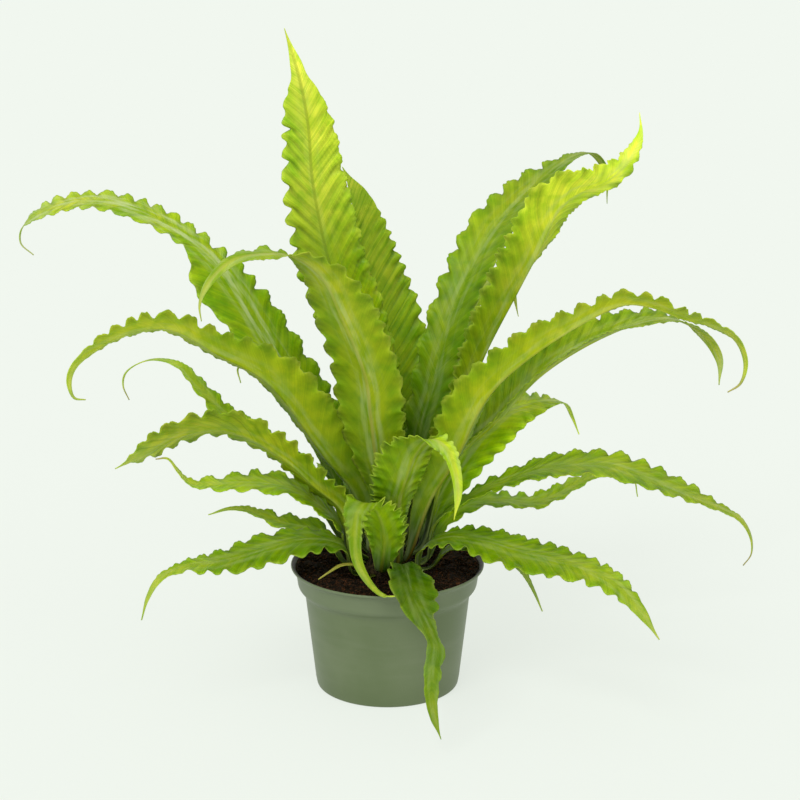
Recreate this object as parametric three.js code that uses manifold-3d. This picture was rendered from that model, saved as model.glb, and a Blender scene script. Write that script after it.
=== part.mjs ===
// A japanese bird's nest fern in a plastic nursery pot. Millimetres, +Z up, the pot's axis on Z.
// The side that faces the viewer is -Y and the viewer's right is +X. The pot stands on z = 0.
import * as THREE from 'three';
import { mergeVertices } from 'three/addons/utils/BufferGeometryUtils.js';
import Module from 'manifold-3d';

const wasm = await Module();
wasm.setup();

// Driving dimensions of the pot
const POT_HEIGHT = 100;
const LIP_RADIUS = 76.2;
const LIP_DEPTH = 1.6;
const LIP_WIDTH = 1.3;
const FLARE_Z = 95.5;
const COLLAR_TOP_RADIUS = 72.4;
const COLLAR_FOOT_RADIUS = 70.6;
const COLLAR_FOOT_Z = 82;
const STEP_Z = 77.5;
const WALL_TOP_RADIUS = 65.4;
const FOOT_RADIUS = 56.6;
const WALL = 1.5;
const FLOOR_Z = 3;
const FLOOR_THICKNESS = 2;
const FOOT_RING_WIDTH = 6;
const HUB_RADIUS = 9;
const DRAIN_HOLES = 8;
const DRAIN_RADIUS = 4.5;
const DRAIN_CIRCLE = 38;
const POT_SEGMENTS = 36;

// Driving dimensions of the soil and of the crown that stands in it
const GAP = 0.3;
const SOIL_TOP = 98;
const SOIL_LUMP = 1.6;
const SOIL_DIP = 4.5;
const CROWN_RADIUS = 22;
const CROWN_CENTRE_Z = 92;
const CROWN_FOOT_Z = 80;

// Driving dimensions shared by all the fronds
const BLADE_THICKNESS = 1.05;
const MIDRIB_THICKNESS = 2.4;
const STALK_LENGTH = 12;
const STALK_HALF_WIDTH = 2.6;
const STALK_THICKNESS = 3;
const PLAIN_STEP = 15;
const TIP_HALF_WIDTH = 0.6;
const MARGIN_LOBE = 0.12;
const WAVELESS_WIDTH = 5;
const WAVY_WIDTH = 20;
const BROAD_HALF_WIDTH = 26;

// Colours of the fronds: fresh yellow-green on the youngest, deep green on the rest
const DEEP_GREEN = 0x5f8f18;
const FRESH_GREEN = 0x97b030;
const YOUNG = ['frond_left_middle', 'frond_centre_left', 'frond_tallest', 'frond_right_tip',
  'frond_right_long', 'frond_front_short', 'frond_front_curl', 'frondlet_withered'];

const RAD = Math.PI / 180;

// Seeded random numbers, so that every run gives the same plant.
function seededRandom(seed) {
  let state = seed;
  return () => {
    state = (state * 16807) % 2147483647;
    return state / 2147483647;
  };
}

// A value between the rows of a table whose first column runs from 0 to 1, through smooth slopes.
function blend(rows, t, column) {
  let i = 0;
  while (i < rows.length - 2 && t > rows[i + 1][0]) i += 1;
  const [t0, t1] = [rows[i][0], rows[i + 1][0]];
  const [v0, v1] = [rows[i][column], rows[i + 1][column]];
  const slope = (a, b) => (rows[b][column] - rows[a][column]) / (rows[b][0] - rows[a][0]);
  const m0 = i > 0 ? slope(i - 1, i + 1) : slope(i, i + 1);
  const m1 = i < rows.length - 2 ? slope(i, i + 2) : slope(i, i + 1);
  const d = t1 - t0;
  const s = (t - t0) / d;
  const a = (1 + 2 * s) * (1 - s) ** 2 * v0 + s * (1 - s) ** 2 * d * m0;
  return a + s * s * (3 - 2 * s) * v1 + s * s * (s - 1) * d * m1;
}

function smooth(low, high, x) {
  const s = Math.min(1, Math.max(0, (x - low) / (high - low)));
  return s * s * (3 - 2 * s);
}

// How much of the margin's wave reaches a place across the blade, 0 at the midrib and 1 at the margin.
function ruffleShare(v) {
  return Math.max(0, (v - 0.3) / 0.7) ** 1.5;
}

// The usual outline of a frond: [along, left, right, left fold, right fold, roll].
function leaf(left, right, fold, roll) {
  const share = [[0.1, 0.3], [0.22, 0.76], [0.38, 1], [0.55, 0.95], [0.7, 0.62], [0.82, 0.34],
    [0.92, 0.16], [0.97, 0.09], [1, 0.03]];
  const rows = share.map(([t, s]) => [t, s * left, s * right, fold, fold, roll]);
  return [[0, STALK_HALF_WIDTH, STALK_HALF_WIDTH, fold, fold, roll], ...rows];
}

// Every frond: seat is its place on the crown (degrees from the top, degrees round from +X towards +Y),
// heading is the way its upper side leans out, spine is the run of its midrib past the stalk,
// rows are its outline, ruffle and wave are the height and length of the waves of its margins.
const FRONDS = [
  {
    name: 'frond_left_high', seed: 11, seat: [42, 152], heading: 150, ruffle: 2.4, wave: 19,
    spine: [[-29, 14, 172], [-64, 30, 223], [-93, 43, 268], [-120, 56, 309], [-139, 65, 332],
      [-161, 75, 348], [-200, 93, 365], [-238, 111, 369], [-279, 130, 358], [-301, 140, 341],
      [-303, 141, 328], [-292, 136, 319]],
    rows: [[0, 2.6, 2.6, 12, 12, 0], [0.09, 9, 10, 12, 12, 0], [0.2, 19, 22, 8, 12, -8],
      [0.32, 25, 24, 2, 10, -14], [0.43, 27.5, 21, 0, 10, -15], [0.5, 33, 16, -5, 10, -15],
      [0.54, 28, 12, -3, 8, -15], [0.58, 13, 11, 0, 5, -15], [0.7, 12, 12, 0, 0, -20],
      [0.8, 11, 11, 0, 0, -24], [0.87, 10, 10, 0, 0, -32], [0.92, 6, 6, 0, 0, -34],
      [0.95, 2, 2, 0, 0, -20], [1, 0.6, 0.6, 0, 0, 0]],
  },
  {
    name: 'frond_left_middle', seed: 12, seat: [52, 205], heading: 200, ruffle: 2.4, wave: 19,
    spine: [[-24, -5, 154], [-49, -14, 193], [-90, -31, 255.5], [-125, -46, 281], [-160, -58, 304],
      [-181, -66, 305], [-205, -75, 298], [-227, -83, 283], [-232, -84, 271], [-229, -83, 258],
      [-221, -81, 256]],
    rows: [[0, 2.6, 2.6, 20, 20, 20], [0.08, 8, 6, 30, 30, 30], [0.18, 22, 7, 35, 30, 38],
      [0.3, 28, 11, 35, 30, 42], [0.42, 27, 17, 35, 30, 42], [0.55, 21, 17, 35, 25, 38],
      [0.66, 14.5, 13, 32, 10, 30], [0.76, 16, 11, 30, -5, 22], [0.84, 11, 8, 20, -5, 28],
      [0.9, 6, 5, 5, 0, 40], [0.95, 3.4, 3.4, 0, 0, 45], [1, 0.8, 0.8, 0, 0, 45]],
  },
  {
    name: 'frond_centre_left', seed: 13, seat: [40, 236], heading: 250, ruffle: 2.6, wave: 19,
    spine: [[-2, -26.4, 164], [-8, -34.4, 194.7], [-12, -40.4, 230.7], [-16, -43.4, 264],
      [-33, -52, 311], [-47, -60, 343], [-66, -64, 359], [-90, -67, 362], [-112, -70, 358],
      [-130, -74, 341], [-136, -76, 326], [-135, -76, 314]],
    rows: [[0, 2.6, 2.6, 12, 12, 0], [0.1, 9, 9, 12, 12, 0], [0.22, 19, 20, 12, 12, 0],
      [0.35, 25, 28.5, 12, 10, 0], [0.47, 26, 27.5, 10, 10, 0], [0.57, 27, 24.5, 10, 10, 0],
      [0.64, 21, 20, 8, 8, 0], [0.7, 14, 14, 5, 5, -6], [0.75, 12.5, 12.5, 0, 0, -13],
      [0.8, 9.5, 9.5, 0, 0, -8],
      [0.85, 5.5, 5.5, 0, 0, 0], [0.9, 3.8, 3.8, 0, 0, 0], [0.95, 2, 2, 0, 0, 0], [1, 0.6, 0.6, 0, 0, 0]],
  },
  {
    name: 'frond_tallest', seed: 14, seat: [14, 185], heading: 105, ruffle: 2.4, wave: 19,
    spine: [[-3, 4, 175], [-12, 8, 231], [-29, 14, 293], [-45, 18, 340], [-57, 24, 400],
      [-60, 28, 442], [-66, 30, 476], [-77, 30, 515]],
    rows: [[0, 2.6, 2.6, 10, 10, 0], [0.1, 8, 8, 10, 10, 0], [0.22, 15, 19, 10, 10, 0],
      [0.38, 21, 27, 10, 10, 0], [0.55, 25, 28, 10, 10, 0], [0.66, 24, 27, 10, 10, 0],
      [0.74, 20.5, 24, 8, 8, 0], [0.81, 18.5, 19.5, 8, 8, 0], [0.86, 16, 14.5, 5, 5, 0],
      [0.885, 11.5, 11, 0, 0, 0], [0.91, 6, 6.5, 0, 0, 0], [0.94, 4, 5.2, 0, 0, 0],
      [0.97, 2.4, 3.2, 0, 0, 0],
      [1, 0.6, 0.6, 0, 0, 0]],
  },
  {
    name: 'frond_behind_tallest', seed: 15, seat: [16, 80], heading: 110, ruffle: 2.4, wave: 19,
    spine: [[8, 21.7, 144], [9, 46, 201], [5, 66, 262], [-8, 80, 320], [-20, 90, 369],
      [-36, 96, 399]],
    rows: [[0, 2.6, 2.6, 10, 10, 0], [0.1, 8, 8, 10, 10, 0], [0.22, 20, 16, 10, 10, 0],
      [0.38, 26, 23, 10, 10, 0], [0.55, 25, 26, 10, 10, 0], [0.7, 18.5, 21, 10, 10, 0],
      [0.82, 13, 14, 10, 10, 0], [0.92, 7.5, 7.5, 10, 10, 0], [0.97, 3.6, 3.6, 5, 5, 0],
      [1, 0.6, 0.6, 0, 0, 0]],
  },
  {
    name: 'frond_right_back', seed: 16, seat: [38, 36], heading: 60, ruffle: 2.4, wave: 19,
    spine: [[24, 11, 190], [37, 24, 243], [50, 35, 290], [73, 57, 339], [90, 74, 361],
      [135, 113, 395], [153, 128, 403], [168, 141, 402], [179, 150, 386], [181, 152, 359]],
    rows: [[0, 2.6, 2.6, 12, 12, 0], [0.1, 7, 8, 12, 12, 0], [0.22, 14, 18, 12, 12, 0],
      [0.36, 17.5, 20, 10, 10, 0], [0.5, 19, 19, 10, 10, 0], [0.6, 20.5, 20, 8, 8, 0],
      [0.7, 19.5, 15, 5, 5, 0], [0.79, 15.5, 10, 0, 0, 0], [0.87, 10, 7, 0, 0, 0], [0.94, 5, 5, 0, 0, 0],
      [1, 0.6, 0.6, 0, 0, 0]],
  },
  {
    name: 'frond_right_tip', seed: 17, seat: [28, 335], heading: 350, ruffle: 2.6, wave: 19,
    spine: [[41, -5, 186], [60, -7, 234], [76, -9, 275], [101, -12, 326], [115, -14, 355],
      [127, -16, 384], [140, -17, 397], [163, -20, 408], [179, -22, 424], [187, -23, 444],
      [186, -23, 459]],
    rows: [[0, 2.6, 2.6, 20, 20, -20], [0.08, 6, 7, 30, 30, -25], [0.2, 12, 14, 35, 38, -25],
      [0.35, 16, 15, 35, 40, -25], [0.42, 17, 18.5, 35, 40, -25], [0.5, 18, 23, 35, 40, -25],
      [0.6, 18, 28, 30, 36, -25],
      [0.68, 20, 30, 6, 32, -25], [0.77, 17, 28, -14, 30, -22], [0.84, 13, 20, -15, 20, -25],
      [0.9, 6.5, 8.5, -5, 5, -60], [0.95, 4, 4, 0, 0, -80], [0.975, 2, 2, 0, 0, -80],
      [1, 0.6, 0.6, 0, 0, -80]],
  },
  {
    name: 'frond_right_long', seed: 18, seat: [54, 306], heading: 335, ruffle: 2.4, wave: 19,
    spine: [[33, -32, 162], [52, -40, 197], [75, -47, 248], [104, -53, 279], [149, -59, 311],
      [175, -61, 323], [196, -62, 321], [217.5, -63, 313], [239, -64, 307.5], [257, -66, 298.5],
      [265, -66, 280.5], [262, -65, 264], [253, -64, 257]],
    rows: [[0, 2.6, 2.6, 20, 20, -20], [0.08, 6, 7, 30, 30, -25], [0.2, 12, 18, 30, 38, -25],
      [0.32, 17, 25.5, 30, 40, -25], [0.42, 15, 22.5, 30, 40, -25], [0.52, 13, 18.5, 30, 40, -25],
      [0.6, 12, 13.5, 25, 38, -24], [0.67, 12, 11.5, 10, 36, -22], [0.74, 11, 13.5, 0, 34, -20],
      [0.82, 9, 9, 0, 20, -24], [0.88, 6, 6, 0, 5, -38], [0.93, 3.6, 3.6, 0, 0, -45],
      [0.97, 2.2, 2.2, 0, 0, -45], [1, 0.8, 0.8, 0, 0, -45]],
  },
  {
    name: 'frond_right_under', seed: 19, seat: [54, 8], heading: 12, ruffle: 2.4, wave: 19,
    spine: [[47, 16, 171], [87, 26, 209], [120, 33, 243], [158, 40, 267], [199, 48, 283],
      [217, 52, 285], [234, 56, 281.5], [254.5, 60, 267], [265.5, 63, 248], [266, 63, 228]],
    rows: [[0, 2.6, 2.6, 20, 20, 0], [0.1, 6, 5, 25, 25, 0], [0.2, 12, 9, 35, 30, 0],
      [0.3, 20, 13, 38, 32, 0], [0.42, 25, 15, 38, 32, 0], [0.54, 24, 14, 38, 30, 0],
      [0.65, 20, 12, 34, 28, 0], [0.71, 16, 13, 28, 4, 0], [0.77, 12, 11, 20, 0, 0],
      [0.85, 9, 7.5, 10, 0, -20],
      [0.91, 5, 5, 0, 0, -38], [0.96, 3.4, 3.4, 0, 0, -45], [1, 0.8, 0.8, 0, 0, -45]],
  },
  {
    name: 'frond_front_short', seed: 20, seat: [58, 286], heading: 285, ruffle: 2.4, wave: 17,
    spine: [[8, -31, 135.7], [9, -40, 160], [14, -52, 185], [22, -60, 209], [34, -69, 222],
      [45, -75, 216], [51, -79, 201], [53, -82, 183], [50, -85, 164]],
    rows: [[0, 2.6, 2.6, 12, 12, 0], [0.12, 5, 8, 12, 12, 0], [0.27, 8.5, 17, 12, 12, 0],
      [0.41, 14, 24, 10, 10, 0], [0.53, 15, 27, 10, 8, 0], [0.6, 11, 23, 5, 5, 0],
      [0.66, 8.5, 11, 0, 0, 0], [0.76, 5.5, 5.5, 0, 0, 0], [0.9, 3.2, 3.2, 0, 0, 0],
      [1, 0.6, 0.6, 0, 0, 0]],
  },
  {
    name: 'frond_front_curl', seed: 21, seat: [68, 262], heading: 262, ruffle: 2.6, wave: 13,
    spine: [[-2, -38, 129], [-4, -47, 149], [-9, -56, 164], [-16, -63, 170], [-22, -69, 165],
      [-24, -74, 147], [-22, -78, 129], [-13, -82, 113], [-3, -86, 105], [10, -90, 106]],
    rows: [[0, 2.6, 2.6, 12, 12, 0], [0.1, 7, 7, 12, 12, 0], [0.2, 14, 13, 12, 12, 0],
      [0.3, 17, 16, 10, 10, 0], [0.38, 15, 15, 5, 5, 0], [0.46, 11, 13, 0, 0, 0],
      [0.54, 8, 10, 0, 0, 0], [0.63, 5.5, 5.5, 0, 0, 0], [0.75, 4, 4, 0, 0, 0],
      [0.87, 2.3, 2.3, 0, 0, 0], [1, 0.6, 0.6, 0, 0, 0]],
  },
  {
    name: 'frond_right_middle', seed: 22, seat: [62, 30], heading: 27, ruffle: 2.4, wave: 14,
    spine: [[41, 25, 143.4], [55, 31, 170], [68, 37, 189], [82, 44, 203], [96, 50, 212],
      [114, 58, 215], [132, 67, 214], [144, 74, 209], [150, 76, 197], [156, 79, 182]],
    rows: [[0, 2.6, 2.6, 12, 12, 0], [0.1, 4, 5, 12, 10, 10], [0.25, 10, 13, 10, 5, 28],
      [0.4, 13, 21, 8, 0, 34], [0.55, 13, 25, 5, 0, 32], [0.68, 12, 20, 5, 0, 26],
      [0.78, 8.5, 11, 0, 0, 15], [0.85, 5, 5, 0, 0, 0], [0.93, 2.8, 2.8, 0, 0, 0], [1, 0.6, 0.6, 0, 0, 0]],
  },
  {
    name: 'frond_right_low', seed: 23, seat: [68, 342], heading: 336, ruffle: 2.4, wave: 17,
    spine: [[37, -12, 136], [64, -26, 164], [93, -40, 181], [119, -53, 194], [159, -71, 203],
      [184, -82, 200], [221, -98, 189], [240, -107, 183], [258, -115, 175], [265.5, -119, 163],
      [266.5, -120, 150], [261.5, -117, 140]],
    rows: [[0, 2.6, 2.6, 4, 4, 10], [0.1, 4, 4.5, 4, 4, 10], [0.22, 9, 13, 4, 4, 10],
      [0.38, 20, 20, 4, 4, 10], [0.55, 19.5, 20.5, 4, 4, 10], [0.7, 15, 15, 4, 4, 10],
      [0.78, 10, 9, 4, 4, 8],
      [0.84, 6, 5.5, 0, 0, 4], [0.92, 2.6, 2.6, 0, 0, 0], [1, 0.6, 0.6, 0, 0, 0]],
  },
  {
    name: 'frond_right_small', seed: 24, seat: [72, 8], heading: 14, ruffle: 2.4, wave: 15,
    spine: [[42, 5, 126], [65, 11, 144.5], [92, 19, 145], [115, 27, 141], [135, 33, 145.5],
      [154, 38, 154.5], [180, 45, 161.5], [197, 49, 156], [202, 50, 138]],
    rows: leaf(12, 12, 6, 8),
  },
  {
    name: 'frond_right_droop', seed: 25, seat: [78, 312], heading: 325, ruffle: 2.4, wave: 17,
    spine: [[27, -27, 121], [48, -41, 135.3], [70, -53, 137], [92, -67, 135], [126, -88, 134],
      [155, -108, 130], [171, -120, 123], [185, -130, 110], [199, -140, 91]],
    rows: [[0, 2.6, 2.6, 0, 0, 12], [0.1, 5, 2.5, 0, 0, 12], [0.22, 14, 7, 0, 0, 12],
      [0.38, 19, 19, 0, 0, 12], [0.55, 18, 24, 0, 0, 12], [0.7, 14, 16, 0, 0, 12],
      [0.82, 10, 9.5, 0, 0, 12],
      [0.92, 5.5, 5.5, 0, 0, 6], [0.97, 2.8, 2.8, 0, 0, 0], [1, 0.6, 0.6, 0, 0, 0]],
  },
  {
    name: 'frond_right_tail', seed: 26, seat: [80, 348], heading: 345, ruffle: 1.5, wave: 14,
    spine: [[49, -13, 116], [80, -21, 119], [96, -26, 112], [106, -28, 101], [114, -31, 87],
      [121, -32, 71]],
    rows: leaf(9, 9, 8, 8),
  },
  {
    name: 'frond_over_rim', seed: 27, seat: [80, 290], heading: 285, ruffle: 2.4, wave: 16,
    spine: [[12, -44, 114], [16, -70, 112], [20, -94, 107], [25, -108, 99], [32, -120, 89],
      [36, -128, 80], [34, -136, 66], [33, -144, 46], [35, -148, 33], [40, -151, 17]],
    rows: [[0, 2.6, 2.6, 12, 12, 0], [0.12, 5, 5, 15, 12, 0], [0.24, 11, 12, 12, 20, 0],
      [0.34, 17, 18, 12, 25, 0], [0.42, 17, 17, 10, 18, 0], [0.49, 14, 12, 8, 8, 0],
      [0.55, 8, 8, 0, 0, 0], [0.6, 5, 5, 0, 0, 0], [0.68, 6.5, 6.5, 0, 0, 0], [0.8, 5.5, 5.5, 0, 0, 0],
      [0.92, 3, 3, 0, 0, 0], [1, 0.6, 0.6, 0, 0, 0]],
  },
  {
    name: 'frond_left_droop', seed: 28, seat: [78, 216], heading: 205, ruffle: 2.6, wave: 16,
    spine: [[-34, -25, 123], [-58, -33, 131], [-90, -43, 128], [-123, -58, 122], [-156, -73, 122],
      [-171, -80, 116], [-180, -84, 102], [-185, -86, 85]],
    rows: [[0, 2.6, 2.6, 0, 0, -14], [0.1, 6, 5, 0, 0, -14], [0.22, 15, 13, 0, 0, -14],
      [0.38, 20, 17, 0, 0, -14], [0.52, 18, 16, 0, 0, -14], [0.64, 13, 12, 0, 0, -14],
      [0.72, 8.5, 8, 0, 0, -14],
      [0.78, 5.6, 5.6, 0, 0, -10], [0.9, 3.8, 3.8, 0, 0, 0], [1, 0.6, 0.6, 0, 0, 0]],
  },
  {
    name: 'frond_left_small', seed: 29, seat: [76, 184], heading: 182, ruffle: 1.8, wave: 14,
    spine: [[-53, 0, 125], [-84, -2, 134], [-111, -4, 145], [-124, -5, 146], [-140, -7, 142]],
    rows: leaf(10, 10, 8, -14),
  },
  {
    name: 'frond_left_lower', seed: 30, seat: [66, 180], heading: 190, ruffle: 2.4, wave: 15,
    spine: [[-37, -5, 132], [-54, -9, 151], [-75, -13, 166], [-102, -18, 172], [-133, -23, 172],
      [-152, -27, 175], [-161, -28, 185], [-168, -30, 195], [-177, -31, 195]],
    rows: leaf(17, 16, 5, -12),
  },
  {
    name: 'frond_left_broad', seed: 31, seat: [62, 204], heading: 197, ruffle: 2.4, wave: 17,
    spine: [[-35, -15, 148], [-56, -21, 170], [-78, -27, 193], [-101, -33, 210.5],
      [-123, -39, 220.5], [-153, -47, 219], [-185, -57, 205], [-204, -62, 197]],
    rows: [[0, 2.6, 2.6, 15, 15, 10], [0.1, 7, 7, 20, 15, 14], [0.22, 15, 15, 25, 5, 20],
      [0.38, 18, 19, 24, 5, 22], [0.52, 24, 19, 22, 0, 20], [0.64, 26, 19, 24, -6, 20],
      [0.78, 26, 19, 24, -14, 20], [0.9, 19, 15, 20, -10, 24], [0.965, 11, 9, 8, 0, 26],
      [1, 1.5, 1.5, 0, 0, 20]],
  },
  {
    name: 'frond_left_wisp', seed: 32, seat: [68, 156], heading: 150, ruffle: 2, wave: 15,
    spine: [[-70, 41, 164], [-111, 64, 190], [-134, 77, 202], [-156, 90, 223], [-170, 98, 235],
      [-190, 110, 237], [-207, 119, 231], [-219, 126, 220], [-221, 128, 209], [-216, 125, 198]],
    rows: [[0, 2.6, 2.6, 5, 5, -14], [0.15, 5, 5, 5, 5, -14], [0.35, 9, 9, 5, 5, -14],
      [0.55, 8.5, 8.5, 5, 5, -14], [0.68, 5.5, 5.5, 0, 0, -14], [0.78, 3, 3, 0, 0, -10],
      [0.9, 1.6, 1.6, 0, 0, 0], [1, 0.6, 0.6, 0, 0, 0]],
  },
  {
    name: 'frond_back_wisp', seed: 33, seat: [66, 130], heading: 140, ruffle: 2, wave: 16,
    spine: [[-54, 45, 179], [-87, 73, 221], [-108, 91, 237], [-123, 103, 231], [-121, 102, 219]],
    rows: leaf(8, 8, 10, 0),
  },
  {
    name: 'frondlet_withered', seed: 34, seat: [80, 240], heading: 220, ruffle: 0.8, wave: 12,
    spine: [[-20, -34, 108], [-27, -36, 111], [-36, -38, 111], [-44, -40, 107], [-53, -44, 102]],
    rows: leaf(2.8, 2.8, 10, 0),
  },
  {
    name: 'frond_back_high', seed: 35, seat: [46, 66], heading: 75, ruffle: 2.4, wave: 18,
    spine: [[22, 38, 157], [34, 66, 213], [57, 94, 264], [75, 122, 292], [91, 144, 297],
      [103, 158, 286], [110, 166, 260]],
    rows: leaf(15, 15, 12, 0),
  },
  {
    name: 'frond_back_middle', seed: 36, seat: [50, 98], heading: 98, ruffle: 2.4, wave: 20,
    spine: [[-2, 50, 158], [-8, 92, 196], [-14, 140, 218], [-20, 184, 206], [-24, 210, 178]],
    rows: leaf(20, 20, 12, 0),
  },
  {
    name: 'frond_back_low', seed: 37, seat: [74, 80], heading: 78, ruffle: 2.6, wave: 18,
    spine: [[12, 56, 128], [22, 104, 140], [32, 152, 134], [40, 190, 112]],
    rows: leaf(15, 15, 10, 0),
  },
  {
    name: 'frond_back_left_low', seed: 38, seat: [74, 116], heading: 112, ruffle: 2.6, wave: 18,
    spine: [[-22, 50, 130], [-40, 98, 144], [-54, 142, 134], [-62, 168, 112]],
    rows: leaf(16, 16, 10, 0),
  },
];

const toVector = (p) => new THREE.Vector3(p[0], p[1], p[2]);

// The midrib's curve, from its seat on the crown, out along the stalk and through the hand-set points.
function spineCurve(frond) {
  const [polar, azimuth] = frond.seat.map((angle) => angle * RAD);
  const out = toVector([
    Math.sin(polar) * Math.cos(azimuth), Math.sin(polar) * Math.sin(azimuth), Math.cos(polar),
  ]);
  const centre = toVector([0, 0, CROWN_CENTRE_Z]);
  const seat = centre.clone().addScaledVector(out, CROWN_RADIUS + GAP);
  const stalk = seat.clone().addScaledVector(out, STALK_LENGTH);
  return new THREE.CatmullRomCurve3([seat, stalk, ...frond.spine.map(toVector)], false, 'centripetal');
}

// Places along the frond where its cross-sections stand, one at each crest and each trough of the wave.
function stationsOf(frond, length) {
  const random = seededRandom(frond.seed);
  const widest = Math.max(...frond.rows.map((row) => row[1] + row[2]));
  const stations = [];
  let along = 0;
  let sign = 1;
  while (along < length * 0.985) {
    const t = along / length;
    const breadth = (blend(frond.rows, t, 1) + blend(frond.rows, t, 2)) / widest;
    const ends = smooth(0.1, 0.25, t) * (1 - smooth(0.8, 0.93, t));
    const height = ends * smooth(WAVELESS_WIDTH, WAVY_WIDTH, breadth * widest);
    stations.push({
      t,
      left: sign * height * (0.6 + 0.7 * random()),
      right: -sign * height * (0.6 + 0.7 * random()),
    });
    sign = -sign;
    const halfWave = 0.5 * frond.wave * (0.62 + 0.38 * breadth) * (0.8 + 0.4 * random());
    along += t < 0.12 ? PLAIN_STEP : halfWave;
  }
  stations.push({ t: 1, left: 0, right: 0 });
  return stations;
}

// The blade's own directions at a place on the spine: along it, to its left and out of its upper side.
function bladeFrame(curve, frond, t) {
  const along = curve.getTangentAt(t);
  const heading = frond.heading * RAD;
  const level = toVector([-Math.sin(heading), Math.cos(heading), 0]);
  const side = level.addScaledVector(along, -level.dot(along)).normalize();
  const up = along.clone().cross(side);
  const roll = blend(frond.rows, t, 5) * RAD;
  const across = side.clone().multiplyScalar(Math.cos(roll)).addScaledVector(up, Math.sin(roll));
  return { along, across, up: along.clone().cross(across) };
}

// A point of the blade's middle surface. share runs from -1 at the right margin to 1 at the left one.
function bladePoint(curve, frond, station, frame, share) {
  const v = Math.abs(share);
  const left = share > 0;
  const halfWidth = Math.max(TIP_HALF_WIDTH, blend(frond.rows, station.t, left ? 1 : 2));
  const fold = blend(frond.rows, station.t, left ? 3 : 4) * RAD;
  const wave = (left ? station.left : station.right) * ruffleShare(v);
  const reach = halfWidth * v * (1 + MARGIN_LOBE * wave);
  const across = Math.sign(share) * reach * Math.cos(fold);
  const height = reach * Math.sin(fold) + frond.ruffle * wave;
  return curve.getPointAt(station.t)
    .addScaledVector(frame.across, across)
    .addScaledVector(frame.up, height);
}

// The grid of the blade's middle surface, a row of points for each station.
function bladeGrid(curve, frond, stations, shares) {
  return stations.map((station) => {
    const frame = bladeFrame(curve, frond, station.t);
    return shares.map((share) => bladePoint(curve, frond, station, frame, share));
  });
}

// The direction out of the upper side at a point of the grid.
function gridNormal(grid, i, j) {
  const ahead = grid[Math.min(i + 1, grid.length - 1)][j].clone().sub(grid[Math.max(i - 1, 0)][j]);
  const right = grid[i][Math.max(j - 1, 0)];
  const left = grid[i][Math.min(j + 1, grid[i].length - 1)];
  return ahead.cross(left.clone().sub(right)).normalize();
}

// The two triangles of a four-sided cell, split along the same diagonal whichever way it faces.
function cell(a, b, c, d, flip) {
  return flip ? [a, c, b, a, d, c] : [a, b, c, a, c, d];
}

// A closed solid between an upper and a lower copy of the grid.
function solidBlade(grid, thicknessAt) {
  const rows = grid.length;
  const columns = grid[0].length;
  const positions = [];
  [1, -1].forEach((face) => {
    grid.forEach((row, i) => row.forEach((point, j) => {
      const [above, below] = thicknessAt(i, j);
      const offset = face > 0 ? above : -below;
      const p = point.clone().addScaledVector(gridNormal(grid, i, j), offset);
      positions.push(p.x, p.y, p.z);
    }));
  });
  const upper = (i, j) => i * columns + j;
  const lower = (i, j) => rows * columns + i * columns + j;
  const index = [];
  for (let i = 0; i < rows - 1; i += 1) {
    for (let j = 0; j < columns - 1; j += 1) {
      index.push(...cell(upper(i, j), upper(i + 1, j), upper(i + 1, j + 1), upper(i, j + 1), false));
      index.push(...cell(lower(i, j), lower(i + 1, j), lower(i + 1, j + 1), lower(i, j + 1), true));
    }
    const last = columns - 1;
    index.push(...cell(upper(i, 0), lower(i, 0), lower(i + 1, 0), upper(i + 1, 0), false));
    index.push(...cell(upper(i, last), lower(i, last), lower(i + 1, last), upper(i + 1, last), true));
  }
  for (let j = 0; j < columns - 1; j += 1) {
    const end = rows - 1;
    index.push(...cell(upper(0, j), upper(0, j + 1), lower(0, j + 1), lower(0, j), false));
    index.push(...cell(upper(end, j), upper(end, j + 1), lower(end, j + 1), lower(end, j), true));
  }
  const geometry = new THREE.BufferGeometry();
  geometry.setAttribute('position', new THREE.Float32BufferAttribute(positions, 3));
  geometry.setIndex(index);
  return geometry;
}

// How far the blade reaches above and below its middle surface: a keel below the midrib, a thick stalk.
function bladeThickness(t, share) {
  const stalk = 1 - smooth(0.03, 0.12, t);
  const rib = Math.abs(share) < 0.01 ? (MIDRIB_THICKNESS - BLADE_THICKNESS) * (1 - 0.75 * t) : 0;
  const base = 0.5 * BLADE_THICKNESS + stalk * 0.5 * (STALK_THICKNESS - BLADE_THICKNESS);
  return [base, base + rib * (1 - stalk)];
}

function frondGeometry(frond) {
  const curve = spineCurve(frond);
  const stations = stationsOf(frond, curve.getLength());
  const wide = Math.max(...frond.rows.map((row) => Math.max(row[1], row[2]))) > BROAD_HALF_WIDTH;
  const shares = wide ? [-1, -0.5, 0, 0.5, 1] : [-1, 0, 1];
  const grid = bladeGrid(curve, frond, stations, shares);
  return solidBlade(grid, (i, j) => bladeThickness(stations[i].t, shares[j]));
}

// A body of revolution from a profile that starts and ends on the axis.
function revolved(profile, segments) {
  const points = profile.map(([r, z]) => new THREE.Vector2(r, z));
  const geometry = new THREE.LatheGeometry(points, segments);
  geometry.rotateX(Math.PI / 2);
  geometry.deleteAttribute('uv');
  geometry.deleteAttribute('normal');
  return closed(geometry);
}

// Merges doubled points and drops the slivers that they leave on the axis.
function closed(geometry) {
  const merged = mergeVertices(geometry, 1e-4);
  const index = [];
  const source = merged.index.array;
  for (let i = 0; i < source.length; i += 3) {
    const [a, b, c] = [source[i], source[i + 1], source[i + 2]];
    if (a !== b && b !== c && c !== a) index.push(a, b, c);
  }
  merged.setIndex(index);
  return merged;
}

function toManifold(geometry) {
  const mesh = new wasm.Mesh({
    numProp: 3,
    vertProperties: Float32Array.from(geometry.attributes.position.array),
    triVerts: Uint32Array.from(geometry.index.array),
  });
  return new wasm.Manifold(mesh);
}

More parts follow.
